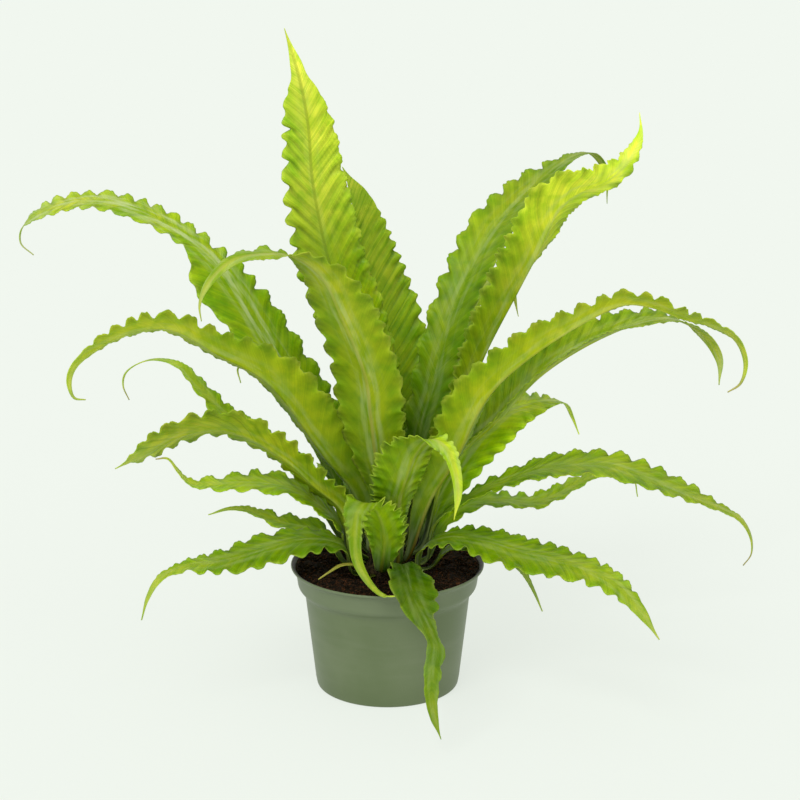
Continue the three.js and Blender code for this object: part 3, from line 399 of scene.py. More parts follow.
    ], light=0.87, ends=(0.85, 1.4), left=(-1.3, 2.7, 18), right=(1.2, 1.4, 15)),
    frond("frond_left_small", 29, seat=(76, 184), heading=182, spine=[
        (-53, 0, 125), (-84, -2, 134), (-111, -4, 145), (-124, -5, 146), (-140, -7, 142),
    ], rows=leaf(10, 10, 8, -14), light=1.35, calm=0.86, left=(-1.3, 1.8, 19), right=(1.4, 1.8, 19)),
    frond("frond_left_lower", 30, seat=(66, 180), heading=190, spine=[
        (-37, -5, 132), (-54, -9, 151), (-75, -13, 166), (-102, -18, 172), (-133, -23, 172),
        (-152, -27, 175), (-161, -28, 185), (-168, -30, 195), (-177, -31, 195),
    ], rows=leaf(17, 16, 5, -12), light=1.33, ends=(1.0, 1.25), calm=0.84, dry=0.8, left=(-1.3, 2.0, 22),
      right=(1.5, 1.8, 20)),
    frond("frond_left_broad", 31, seat=(62, 204), heading=197, spine=[
        (-35, -15, 148), (-56, -21, 170), (-78, -27, 193), (-101, -33, 210.5), (-123, -39, 220.5),
        (-153, -47, 219), (-185, -57, 205), (-204, -62, 197),
    ], rows=[
        (0, 2.6, 2.6, 15, 15, 10), (0.1, 7, 7, 20, 15, 14), (0.22, 15, 15, 25, 5, 20),
        (0.38, 18, 19, 24, 5, 22), (0.52, 24, 19, 22, 0, 20), (0.64, 26, 19, 24, -6, 20),
        (0.78, 26, 19, 24, -14, 20), (0.9, 19, 15, 20, -10, 24), (0.965, 11, 9, 8, 0, 26),
        (1, 1.5, 1.5, 0, 0, 20),
    ], light=1.19, veins=0.5, calm=0.88, left=(1.6, 2.0, 15), right=(-1.4, 2.2, 18)),
    frond("frond_left_wisp", 32, seat=(68, 156), heading=150, spine=[
        (-70, 41, 164), (-111, 64, 190), (-134, 77, 202), (-156, 90, 223), (-170, 98, 235),
        (-190, 110, 237), (-207, 119, 231), (-219, 126, 220), (-221, 128, 209), (-216, 125, 198),
    ], rows=[
        (0.15, 5, 5, 5, 5, -14), (0.35, 9, 9), (0.55, 8.5, 8.5), (0.68, 5.5, 5.5, 0, 0, -14),
        (0.78, 3, 3, 0, 0, -10), (0.9, 1.6, 1.6, 0, 0, 0),
    ], ends=(0.92, 1.45), dry=0.8, slim=0.8, left=(-1.4, 1.8, 17), right=(1.4, 1.8, 17)),
    frond("frond_back_wisp", 33, seat=(66, 130), heading=140, spine=[
        (-54, 45, 179), (-87, 73, 221), (-108, 91, 237), (-123, 103, 231), (-121, 102, 219),
    ], rows=leaf(8, 8, 10, 0)),
    frond("frondlet_withered", 34, seat=(80, 240), heading=220, spine=[
        (-20, -34, 108), (-27, -36, 111), (-36, -38, 111), (-44, -40, 107), (-53, -44, 102),
    ], rows=leaf(2.8, 2.8, 10, 0), tone="withered", rib=0.0, sheen=0.0, veins=0.1, pleat=0.1, frill=0.1,
      left=(0.5, 0.3, 9), right=(0.5, 0.3, 9)),
    frond("frond_back_high", 35, seat=(46, 66), heading=75, spine=[
        (22, 38, 157), (34, 66, 213), (57, 94, 264), (75, 122, 292), (91, 144, 297), (103, 158, 286),
        (110, 166, 260),
    ], rows=leaf(15, 15, 12, 0)),
    frond("frond_back_middle", 36, seat=(50, 98), heading=98, spine=[
        (-2, 50, 158), (-8, 92, 196), (-14, 140, 218), (-20, 184, 206), (-24, 210, 178),
    ], rows=leaf(20, 20, 12, 0)),
    frond("frond_back_low", 37, seat=(74, 80), heading=78, spine=[
        (12, 56, 128), (22, 104, 140), (32, 152, 134), (40, 190, 112),
    ], rows=leaf(15, 15, 10, 0)),
    frond("frond_back_left_low", 38, seat=(74, 116), heading=112, spine=[
        (-22, 50, 130), (-40, 98, 144), (-54, 142, 134), (-62, 168, 112),
    ], rows=leaf(16, 16, 10, 0)),
]


# From an 8-bit display colour to the linear numbers that shaders take.
def linear(colour):
    shares = np.asarray(colour, float) / 255
    return np.where(shares <= 0.04045, shares / 12.92, ((shares + 0.055) / 1.055) ** 2.4)


def smooth(low, high, x):
    s = np.clip((x - low) / (high - low), 0, 1)
    return s * s * (3 - 2 * s)


# A smooth curve from start to end as s runs from 0 to 1, with its slopes at both.
def eased(s, start, start_slope, end, end_slope):
    near = (1 + 2 * s) * (1 - s) ** 2 * start + s * (1 - s) ** 2 * start_slope
    return near + s * s * (3 - 2 * s) * end + s * s * (s - 1) * end_slope


# Values between the rows of a table whose first column runs from 0 to 1, through smooth slopes.
def blend(rows, t, column):
    table = np.array(rows, float)
    places = table[:, 0]
    values = table[:, column]
    slopes = np.empty(len(values))
    slopes[1:-1] = (values[2:] - values[:-2]) / (places[2:] - places[:-2])
    slopes[0] = (values[1] - values[0]) / (places[1] - places[0])
    slopes[-1] = (values[-1] - values[-2]) / (places[-1] - places[-2])
    i = np.clip(np.searchsorted(places, t, side="right") - 1, 0, len(places) - 2)
    span = places[i + 1] - places[i]
    return eased((t - places[i]) / span, values[i], span * slopes[i], values[i + 1], span * slopes[i + 1])


# One span of a smooth curve through p1 and p2, its slopes eased by the distances to p0 and p3.
def curve_span(p0, p1, p2, p3):
    d0, d1, d2 = [np.linalg.norm(b - a) ** 0.5 for a, b in ((p0, p1), (p1, p2), (p2, p3))]
    m1 = ((p1 - p0) / d0 - (p2 - p0) / (d0 + d1) + (p2 - p1) / d1) * d1
    m2 = ((p2 - p1) / d1 - (p3 - p1) / (d1 + d2) + (p3 - p2) / d2) * d1
    return eased(np.linspace(0, 1, CURVE_STEPS, endpoint=False)[:, None], p1, m1, p2, m2)


# The direction that rises by tilt above the level and is turned from +X towards +Y, in radians.
def direction(tilt, turn):
    return np.array([math.cos(tilt) * math.cos(turn), math.cos(tilt) * math.sin(turn), math.sin(tilt)])


# The midrib from its seat on the crown, out along the stalk and through the listed points.
def midrib(frond):
    from_top, round_crown = frond["seat"]
    out = direction((90 - from_top) * RAD, round_crown * RAD)
    seat = np.array([0, 0, CROWN_CENTRE_Z]) + out * (CROWN_RADIUS + GAP)
    points = [seat, seat + out * STALK_LENGTH] + [np.array(p, float) for p in frond["spine"]]
    points = [2 * points[0] - points[1]] + points + [2 * points[-1] - points[-2]]
    spans = [curve_span(*points[i:i + 4]) for i in range(len(points) - 3)]
    return np.vstack(spans + [points[-2][None, :]])


# The midrib at even steps: places along it as shares and in millimetres, points and directions.
def even_midrib(frond, step):
    fine = midrib(frond)
    lengths = np.concatenate([[0], np.cumsum(np.linalg.norm(np.diff(fine, axis=0), axis=1))])
    along = np.linspace(0, lengths[-1], int(lengths[-1] / step) + 2)
    points = np.stack([np.interp(along, lengths, fine[:, k]) for k in range(3)], axis=1)
    slope = np.gradient(fine, lengths + np.arange(len(lengths)) * 1e-9, axis=0)
    directions = np.stack([np.interp(along, lengths, slope[:, k]) for k in range(3)], axis=1)
    directions /= np.linalg.norm(directions, axis=1)[:, None]
    return along / lengths[-1], along, points, directions


# A wave that swings between random crests and troughs, half_wave(place) apart.
def random_wave(rng, length, half_wave):
    places = [-WAVE_LEAD]
    heights = [0.0]
    sign = 1
    while places[-1] < length + WAVE_LAG:
        step = half_wave(min(max(places[-1], 0), length))
        places.append(places[-1] + step * rng.uniform(*UNEVEN_STEPS))
        heights.append(sign * rng.uniform(*UNEVEN_HEIGHTS))
        sign = -sign
    places = np.array(places)
    heights = np.array(heights)

    def wave(at):
        i = np.clip(np.searchsorted(places, at, side="right") - 1, 0, len(places) - 2)
        s = np.clip((at - places[i]) / (places[i + 1] - places[i]), 0, 1)
        return heights[i] + (heights[i + 1] - heights[i]) * (0.5 - 0.5 * np.cos(math.pi * s))

    return wave


# The same wave with broad crests and narrow troughs, as a scalloped margin has.
def scalloped(swing):
    return 1 - 2 * np.clip((1 - swing) / 2, 0, None) ** SCALLOP


# The blade's own directions: across it to the left, and out of its upper side.
def blade_directions(frond, t, directions):
    heading = frond["heading"] * RAD
    level = np.array([-math.sin(heading), math.cos(heading), 0])
    side = level - directions * (directions @ level)[:, None]
    side /= np.linalg.norm(side, axis=1)[:, None]
    up = np.cross(directions, side)
    roll = blend(frond["rows"], t, 5)[:, None] * RAD
    across = side * np.cos(roll) + up * np.sin(roll)
    return across, np.cross(directions, across)


# Half widths left and right of the midrib, and the whole width without the wings near the foot.
def blade_widths(frond, t):
    look = frond["look"]
    slim = (1 - (1 - look["slim"]) * smooth(*TAIL_SLIMS, t)) * (1 - FINE_TIP * smooth(*TIP_SLIMS, t))
    left, right = [slim * np.maximum(TIP_HALF_WIDTH, blend(frond["rows"], t, k)) for k in (1, 2)]
    wings = smooth(*WINGS_START, t) * (1 - smooth(*WINGS_END, t))
    return left + look["wings"][0] * wings, right + look["wings"][1] * wings, left + right


# Columns from the right margin (-1) to the left one (1), closer together at the midrib.
def column_shares():
    even = np.linspace(-1, 1, COLUMNS)
    return np.sign(even) * np.abs(even) ** COLUMNS_POWER


# The middle surface of a blade as a grid of points, with what its colours need: how far each point is
# from the midrib, how far the vein at it has run from its start, and how far it stands out, which sets
# the painted light on its crests and the painted shade in its troughs.
def blade_grid(frond, t, along, points, directions, shares):
    look = frond["look"]
    rng = random.Random(frond["seed"])
    across, up = blade_directions(frond, t, directions)
    left, right, width = blade_widths(frond, t)
    ends = smooth(*WAVES_START, t) * (1 - smooth(look["calm"], look["calm"] + CALMING, t))
    height = ends * smooth(*WAVY_WIDTHS, width)
    frill = look["frill"] * ends * smooth(*FRILLED_WIDTHS, width)
    pleats = random_wave(rng, along[-1], lambda place: PLEAT_LENGTH / 2)
    grid = np.empty((len(t), COLUMNS, 3))
    reaches, runs, relief = np.zeros((3, len(t), COLUMNS))
    for sign, half, fold_column, margin in ((1, left, 3, "left"), (-1, right, 4, "right")):
        rise_height, lobe_depth, wave = look[margin]
        ruffle = random_wave(rng, along[-1], lambda place: wave / 2 * (
            SHORT_WAVES + (1 - SHORT_WAVES) * np.interp(place, along, width) / width.max()))
        crinkle = random_wave(rng, along[-1], lambda place: CRINKLE_LENGTH / 2)
        fold = blend(frond["rows"], t, fold_column) * RAD
        for j in np.nonzero(np.sign(shares) == sign)[0]:
            v = abs(shares[j])
            runs[:, j] = left - sign * half * v if look["one_way"] else half * v
            swell = scalloped(ruffle(along - WAVE_LEAN * half * v))
            quilt = height * pleats(along - PLEAT_LEAN * runs[:, j]) * v * (1.6 - v)
            edge = frill * scalloped(crinkle(along - WAVE_LEAN * half * v)) * v ** CRINKLE_POWER
            reach = half * v + lobe_depth * height * swell * v ** LOBE_POWER + CRINKLE_REACH * edge
            reach = np.maximum(reach, LEAST_REACH * half * v)
            rise = rise_height * height * v ** RISE_POWER * swell + look["pleat"] * quilt + edge
            grid[:, j] = (points + across * (sign * reach * np.cos(fold))[:, None]
                          + up * (reach * np.sin(fold) + rise)[:, None])
            reaches[:, j] = sign * reach
            relief[:, j] = 0.8 * v ** 3 * height * swell + min(1, look["pleat"]) * quilt + 0.4 * edge
    grid[:, COLUMNS // 2] = points
    if look["one_way"]:
        runs[:, COLUMNS // 2] = left
    return grid, reaches, runs, relief


def grid_normals(grid):
    normals = np.cross(np.gradient(grid, axis=0), np.gradient(grid, axis=1))
    return normals / np.maximum(np.linalg.norm(normals, axis=2), 1e-12)[:, :, None]


# How far the blade reaches above and below its middle surface: round stalk, thin blade, raised rib.
def blade_thickness(t, reaches, shares):
    stalk = (1 - smooth(*STALK_ENDS, t))[:, None]
    roundness = np.sqrt(np.clip(1 - shares ** 2, 0.04, 1))[None, :]
    plain = BLADE_HALF_THICKNESS + stalk * (STALK_HALF_THICKNESS * roundness - BLADE_HALF_THICKNESS)
    rib = np.exp(-(reaches / RIB_HALF_WIDTH) ** 2) * (1 - 0.8 * t)[:, None] * (1 - stalk)
    return plain + RIB_UNDER * rib, plain + RIB_HEIGHT * rib


# Linear colours along a ramp of base, middle and tip, drifting a little across the blade.
def ramp_colours(ramp, t, shares, patch):
    base, middle, tip = [linear(colour) for colour in ramp]
    table = np.array([base, middle, (1 - LATE_TIP) * middle + LATE_TIP * tip, tip])
    drift = (t + COLOUR_DRIFT * patch(t))[:, None] + MARGIN_DRIFT * np.abs(shares)[None, :]
    return np.stack([np.interp(drift, COLOUR_STOPS, table[:, k]) for k in range(3)], axis=2)


# Colours of one side: painted light makes the crests toward the light paler and painted shade makes the
# troughs deeper, the parts of the blade beside the margins are deeper too, the very margin is pale,
# painted shade darkens the stalk and the tip may be dry. The frond's lightness as a whole, at its ends
# and on its halves is partly its own tone and partly painted light and shade.
def side_colours(ramp, t, shares, patch, relief, look):
    # the frond's lightness as a whole and at its base and tail: partly its own tone, partly painted light
    # and shade
    base, tail = look["ends"]
    light = 1 + (base - 1) * (1 - smooth(*BASE_LIGHT_ENDS, t)) + (tail - 1) * smooth(*TAIL_LIGHT_STARTS, t)
    # painted shade darkens the stalk near its foot
    light = look["light"] * light * (1 - STALK_SHADE * (1 - smooth(*STALK_SHADE_ENDS, t)))
    light = np.stack([light, light ** 0.85, light], axis=1)
    colours = light[:, None, :] * ramp_colours(ramp, t, shares, patch)
    painted_relief_shading = CREST_LIGHT * np.clip(relief, 0, 1) + TROUGH_SHADE * np.clip(relief, -1, 0)
    colours = colours * (1 + painted_relief_shading)[:, :, None]
    # painted light or shade on the left and right halves, partly their own tone
    left, right = look["halves"]
    tint = right + (left - right) * smooth(-HALVES_MEET, HALVES_MEET, shares)
    colours = colours * np.stack([tint, tint ** 0.6, tint], axis=1)[None, :, :]
    outer = smooth(*OUTER_SHARES, np.abs(shares))[None, :, None]
    colours = colours * (1 + outer * (np.array(OUTER_TINT) - 1))
    edge = ((0.2 + 0.08 * look["frill"]) * np.abs(shares) ** PALE_POWER)[None, :, None]
    colours = colours * (1 - edge) + linear(PALE_MARGIN) * edge
    dry = (look["dry"] * smooth(*TIP_DRIES, t))[:, None, None]
    return colours * (1 - dry) + linear(DRY_TIP) * dry


# Colours with a fourth number, how strongly something shows.
def with_strength(colours, strength):
    flat = colours.reshape(-1, 3)
    return np.concatenate([flat, np.full((len(flat), 1), strength)], axis=1)


# Four-sided faces of the closed shell round a blade: of the upper side, the lower side and the rim.
def shell_faces(rows):
    i, j = np.meshgrid(np.arange(rows - 1), np.arange(COLUMNS - 1), indexing="ij")
    a = (i * COLUMNS + j).ravel()
    upper = np.stack([a, a + COLUMNS, a + COLUMNS + 1, a + 1], axis=1)
    shift = rows * COLUMNS
    rim = []
    for column, order in ((0, 1), (COLUMNS - 1, -1)):
        k = np.arange(rows - 1) * COLUMNS + column
        rim.append(np.stack([k, k + shift, k + shift + COLUMNS, k + COLUMNS], axis=1)[:, ::order])
    for row, order in ((0, 1), (rows - 1, -1)):
        k = row * COLUMNS + np.arange(COLUMNS - 1)
        rim.append(np.stack([k, k + 1, k + 1 + shift, k + shift], axis=1)[:, ::order])
    return upper, upper[:, ::-1] + shift, np.concatenate(rim)


def add_object(name, data):
    made = bpy.data.objects.new(name, data)
    bpy.context.scene.collection.objects.link(made)
    return made


# A smooth-shaded mesh object from points and four-sided or three-sided faces.
def mesh_object(name, points, faces):
    mesh = bpy.data.meshes.new(name)
    mesh.from_pydata(points.tolist(), [], faces)
    mesh.polygons.foreach_set("use_smooth", np.ones(len(mesh.polygons), bool))
    mesh.validate()
    return add_object(name, mesh)


def add_point_colour(mesh, name, colours):
    layer = mesh.color_attributes.new(name, "FLOAT_COLOR", "POINT")
    layer.data.foreach_set("color", colours.ravel())


def add_uv(mesh, name, per_point):
    layer = mesh.uv_layers.new(name=name)
    corners = np.empty(len(mesh.loops), np.int32)
    mesh.loops.foreach_get("vertex_index", corners)
    layer.data.foreach_set("uv", per_point[corners].ravel())


# Says which CAD node a piece stands for.
def stand_for(piece, node_name):
    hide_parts(node_name)
    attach(piece, "root")


# What a frond's materials read at each point: the colours of its sides, with their painted light and
# shade, and of its rib, with how strongly the painted sheen highlight and the rib show, its place beside
# and along the midrib, and its place along its vein with how strongly the veins show.
def add_frond_colours(mesh, frond, t, along, shares, reaches, runs, relief):
    look = frond["look"]
    patch = random_wave(random.Random(frond["seed"] + 100), 1.0, lambda place: 0.12)
    ramps = TONES[look["tone"]]
    # painted shade or light on the upper and under faces
    over, under = look["faces"]
    tops = over * side_colours(ramps["upper"], t, shares, patch, relief, look)
    unders = under * side_colours(ramps["under"], t, shares, patch, -relief, look)
    add_point_colour(mesh, "leaf_colour", with_strength(np.concatenate([tops, unders]), look["sheen"]))
    rib = with_strength(look["light"] * ramp_colours(ramps["rib"], t, shares, patch), look["rib"])
    add_point_colour(mesh, "rib_colour", np.tile(rib, (2, 1)))
    middle = np.stack([reaches, np.repeat(along[:, None], COLUMNS, axis=1)], axis=2).reshape(-1, 2) * MM
    add_uv(mesh, "from_midrib", np.tile(middle, (2, 1)))
    veins = np.stack([runs * MM, np.full(runs.shape, look["veins"])], axis=2).reshape(-1, 2)
    add_uv(mesh, "veins", np.tile(veins, (2, 1)))


def make_frond(frond, materials):
    look = frond["look"]
    t, along, points, directions = even_midrib(frond, FINE_STEP if look["frill"] > 1 else STEP_ALONG)
    shares = column_shares()
    grid, reaches, runs, relief = blade_grid(frond, t, along, points, directions, shares)
    normals = grid_normals(grid)
    above, below = blade_thickness(t, reaches, shares)
    shell = [grid + normals * above[:, :, None], grid - normals * below[:, :, None]]
    upper, lower, rim = shell_faces(len(t))
    faces = np.concatenate([upper, lower, rim])
    piece = mesh_object("leaf_" + frond["name"], np.concatenate(shell).reshape(-1, 3) * MM, faces.tolist())
    add_frond_colours(piece.data, frond, t, along, shares, reaches, runs, relief)
    for material in materials:
        piece.data.materials.append(material)
    sides = np.zeros(len(faces), np.int32)
    sides[len(upper):len(upper) + len(lower)] = 1
    piece.data.polygons.foreach_set("material_index", sides)
    stand_for(piece, frond["name"])


# A node of a material's tree, its inputs set by name or number, each to a value or from an output.
def node(tree, kind, inputs=None, **settings):
    made = tree.nodes.new("ShaderNode" + kind)
    for name, value in settings.items():
        setattr(made, name, value)
    for key, value in (inputs or {}).items():
        if isinstance(value, bpy.types.NodeSocket):
            tree.links.new(value, made.inputs[key])
        else:
            made.inputs[key].default_value = value
    return made


# The functions below put their nodes into the tree of the output that they are given first.
def maths(operation, a, b):
    return node(a.id_data, "Math", {0: a, 1: b}, operation=operation).outputs[0]


def times(a, b):
    return maths("MULTIPLY", a, b)


def plus(a, b):
    return maths("ADD", a, b)


# A share from 0 at low to 1 at high.
def ramp_between(value, low, high):
    inputs = {"Value": value, "From Min": low, "From Max": high}
    return node(value.id_data, "MapRange", inputs, interpolation_type="SMOOTHSTEP").outputs["Result"]


# A mix of two colours, which are inputs 6 and 7 of the node, as its output 2.
def mix_colour(share, a, b):
    return node(share.id_data, "Mix", {"Factor": share, 6: a, 7: b}, data_type="RGBA").outputs[2]


def tinted(colour, tint):
    inputs = {"Factor": 1.0, 6: colour, 7: (*tint, 1.0)}
    return node(colour.id_data, "Mix", inputs, data_type="RGBA", blend_type="MULTIPLY").outputs[2]


def opaque(colour):
    return (*[float(c) for c in linear(colour)], 1.0)


def noise(place, scale, detail, roughness=0.5):
    inputs = {"Vector": place, "Scale": scale, "Detail": detail, "Roughness": roughness}
    return node(place.id_data, "TexNoise", inputs).outputs["Fac"]


# Noise across lines that slant over the blade.
def slanting_noise(slant, scale):
    inputs = {"W": times(slant, scale), "Scale": 1.0, "Detail": 2.0, "Roughness": 0.6}
    return node(slant.id_data, "TexNoise", inputs, noise_dimensions="1D").outputs["Fac"]


def uv_place(tree, layer):
    return node(tree, "SeparateXYZ", {0: node(tree, "UVMap", uv_map=layer).outputs["UV"]}).outputs


# A new material's tree and the place on the object.
def new_material(name):
    material = bpy.data.materials.new(name)
    material.use_nodes = True
    tree = material.node_tree
    tree.nodes.clear()
    return material, tree, node(tree, "TexCoord").outputs["Object"]


def bump(height, strength, distance):
    inputs = {"Height": height, "Strength": strength, "Distance": distance}
    return node(height.id_data, "Bump", inputs).outputs["Normal"]


def skin(colour, rough, normal, specular):
    inputs = {"Base Color": colour, "Roughness": rough, "Normal": normal, "Specular IOR Level": specular}
    return node(colour.id_data, "BsdfPrincipled", inputs).outputs[0]


def surface(shader):
    node(shader.id_data, "OutputMaterial", {"Surface": shader})


# Painted highlight: long pale streaks of sheen that run beside the midrib and fade out sideways.
def painted_sheen_share(middle, sideways, strength):
    stretched = {0: times(middle["X"], 240.0), 1: times(middle["Y"], 26.0)}
    streak = noise(node(strength.id_data, "CombineXYZ", stretched).outputs[0], scale=1.0, detail=4.0)
    shown = times(ramp_between(streak, 0.4, 0.66), ramp_between(sideways, 0.015, 0.001))
    return times(shown, times(strength, 0.8))


# A leaf's colour: the frond's own with its painted light and shade, mottled in patches, with slanting
# veins, painted highlights of pale sheen and the midrib.
def leaf_body(tree, place, mottle, vein, fine_vein, vein_strength):
    leaf = node(tree, "Attribute", attribute_name="leaf_colour").outputs
    rib = node(tree, "Attribute", attribute_name="rib_colour").outputs
    middle = uv_place(tree, "from_midrib")
    sideways = maths("ABSOLUTE", middle["X"], 0.0)
    yellow = tinted(leaf["Color"], (1.08, 1.03, 0.95))
    green = tinted(leaf["Color"], (0.9, 0.96, 0.8))
    patches = ramp_between(noise(place, scale=26.0, detail=3.0), 0.38, 0.62)
    body = mix_colour(patches, green, yellow)
    dark = tinted(body, (0.7, 0.84, 0.5))
    body = mix_colour(ramp_between(mottle, 0.34, 0.62), dark, body)
    dark = tinted(body, (0.62, 0.8, 0.4))
    body = mix_colour(times(ramp_between(vein, 0.56, 0.36), vein_strength), body, dark)
    light = tinted(body, (1.22, 1.16, 1.4))
    body = mix_colour(times(ramp_between(fine_vein, 0.45, 0.7), 0.8), body, light)
    # painted highlight of pale sheen beside the midrib
    body = mix_colour(painted_sheen_share(middle, sideways, leaf["Alpha"]), body, PAINTED_SHEEN)
    rib_share = times(ramp_between(sideways, 0.0018, 0.0006), rib["Alpha"])
    return mix_colour(rib_share, body, rib["Color"])


# A leaf side, ridged by its veins and lit through from behind.
def leaf_material(name, roughness, vein_depth):
    material, tree, place = new_material(name)
    veins = uv_place(tree, "veins")
    slant = maths("SUBTRACT", uv_place(tree, "from_midrib")["Y"], times(veins["X"], PLEAT_LEAN))
    slant = plus(slant, times(noise(place, scale=160.0, detail=2.0), 0.0012))
    vein = slanting_noise(slant, VEIN_SCALE)
    fine_vein = slanting_noise(slant, FINE_VEIN_SCALE)
    mottle = noise(place, scale=90.0, detail=5.0)
    body = leaf_body(tree, place, mottle, vein, fine_vein, veins["Y"])
    ridges = times(times(vein, 1.8), veins["Y"])
    relief = plus(plus(ridges, times(mottle, 0.8)), times(fine_vein, 0.35))
    normal = bump(relief, strength=0.75, distance=vein_depth)
    rough = plus(times(mottle, 0.22), roughness)
    face = skin(body, rough, normal, specular=0.14)
    shine_through = tinted(body, (1.15, 1.25, 0.3))
    through = node(tree, "BsdfTranslucent", {"Color": shine_through, "Normal": normal}).outputs[0]
    surface(node(tree, "MixShader", {0: LEAF_GLOW, 1: face, 2: through}).outputs[0])
    return material


# Peat dust on the inside of the lip.
def dust_share(tree, place, height, grain):
    flat = node(tree, "Mapping", {"Vector": place, "Scale": (1.0, 1.0, 0.0)}).outputs["Vector"]
    radius = node(tree, "VectorMath", {0: flat}, operation="LENGTH").outputs["Value"]
    inside = ramp_between(radius, (LIP_RADIUS - 0.5) * MM, (LIP_RADIUS - 1) * MM)
    high = ramp_between(height, (POT_HEIGHT - 2.5) * MM, (POT_HEIGHT - 1.8) * MM)
    return times(times(inside, high), ramp_between(grain, 0.1, 0.4))


# Moulded plastic: grey-green with faint mottling and bands, a finely matt skin and a little dust. Painted
# shade darkens it towards the foot, and painted light makes the collar paler.
def pot_material():
    material, tree, place = new_material("pot_plastic")
    cloud = noise(place, scale=22.0, detail=3.0)
    grain = noise(place, scale=900.0, detail=2.0)
    rings = node(tree, "Mapping", {"Vector": place, "Scale": (1.0, 1.0, 9.0)}).outputs["Vector"]
    bands = ramp_between(noise(rings, scale=14.0, detail=2.0), 0.45, 0.75)
    height = node(tree, "SeparateXYZ", {0: place}).outputs["Z"]
    colour = opaque((89, 104, 66))
    for share, strength, tint in (
            (ramp_between(cloud, 0.3, 0.7), 1.0, (99, 112, 78)),
            (bands, 0.2, (112, 122, 94)),
            # painted shade, darker towards the foot
            (ramp_between(height, PAINTED_SHADE_FOOT * MM, 0.0), 0.45, (80, 94, 58)),
            # painted light, paler on the collar
            (ramp_between(height, PAINTED_LIGHT_COLLAR[0] * MM, PAINTED_LIGHT_COLLAR[1] * MM), 0.25, (116, 126, 102)),
            (dust_share(tree, place, height, grain), 1.0, (34, 27, 18))):
        colour = mix_colour(times(share, strength), colour, opaque(tint))
    rough = plus(times(cloud, 0.16), 0.36)
    normal = bump(grain, strength=0.25, distance=0.0002)
    surface(skin(colour, rough, normal, specular=0.45))
    return material


# Damp peat or brown scales: dark clods with lighter crumbs, rough all over.
def earth_material(name, dark, light, scale, roughness):
    material, tree, place = new_material(name)
    clods = noise(place, scale, detail=5.0, roughness=0.7)
    cells = node(tree, "TexVoronoi", {"Vector": place, "Scale": 2.4 * scale}).outputs
    crumb = node(tree, "SeparateColor", {0: cells["Color"]}).outputs[0]
    colour = mix_colour(ramp_between(clods, 0.46, 0.7), opaque(dark), opaque(light))
    black = opaque([0.55 * c for c in dark])
    colour = mix_colour(ramp_between(crumb, 0.45, 0.95), colour, black)
    rough = plus(times(clods, 0.2), roughness)
    relief = plus(clods, times(cells["Distance"], -0.6))
    normal = bump(relief, strength=0.8, distance=0.0012)
    surface(skin(colour, rough, normal, specular=0.1))
    return material


# The floor of a light tent: pale, and partly lit from below, so that shadows on it stay faint.
def floor_material():
    material, tree, place = new_material("pale_floor")
    lit = (1 - FLOOR_GLOW) * np.array(FLOOR_COLOUR) / FLOOR_LIGHT
    glow = FLOOR_GLOW * np.array(FLOOR_COLOUR)
    colour = mix_colour(noise(place, scale=0.8, detail=1.0), (*lit, 1.0), (*(0.995 * lit), 1.0))
    floor = node(tree, "BsdfPrincipled", {
        "Base Color": colour, "Roughness": 0.95, "Specular IOR Level": 0.0,
        "Emission Color": (*glow, 1.0), "Emission Strength": 1.0})
    surface(floor.outputs[0])
    return material


# A profile from corners as (radius, height, fillet). A corner with a fillet is rounded off by a curve.
def rounded(corners, steps=5):
    points = [np.array(c[:2], float) for c in corners]
    outline = []
    for i, (corner, point) in enumerate(zip(corners, points)):
        if len(corner) < 3:
            outline.append(tuple(point))
            continue
        before = points[i - 1] - point
        after = points[i + 1] - point
        reach = min(corner[2], 0.45 * np.linalg.norm(before), 0.45 * np.linalg.norm(after))
        start = point + before / np.linalg.norm(before) * reach
        end = point + after / np.linalg.norm(after) * reach
        for s in np.linspace(0, 1, steps):
            outline.append(tuple((1 - s) ** 2 * start + 2 * s * (1 - s) * point + s * s * end))
    return outline


# Points and faces of a body of revolution, in millimetres, from a profile that starts and ends on the axis.
def revolved(profile, segments):
    inner = profile[1:-1]
    angles = np.arange(segments) * TURN / segments
    circle = np.stack([np.cos(angles), np.sin(angles), np.zeros(segments)], axis=1)
    rings = [r * circle + [0, 0, z] for r, z in inner]
    points = np.concatenate(rings + [[[0, 0, profile[0][1]], [0, 0, profile[-1][1]]]])
    first, last = len(points) - 2, len(points) - 1
    top = (len(inner) - 1) * segments
    faces = []
    for k in range(segments):
        n = (k + 1) % segments
        faces.append((first, n, k))
        for low in range(0, top, segments):
            faces.append((low + k, low + n, low + segments + n, low + segments + k))
        faces.append((last, top + k, top + n))
    return points, faces


# The faces of a body whose points come after others in one mesh.
def shifted(faces, start):
    return [tuple(start + k for k in face) for face in faces]


def wall_radius(z):
    return FOOT_RADIUS + (WALL_TOP_RADIUS - FOOT_RADIUS) * (z / STEP_Z)


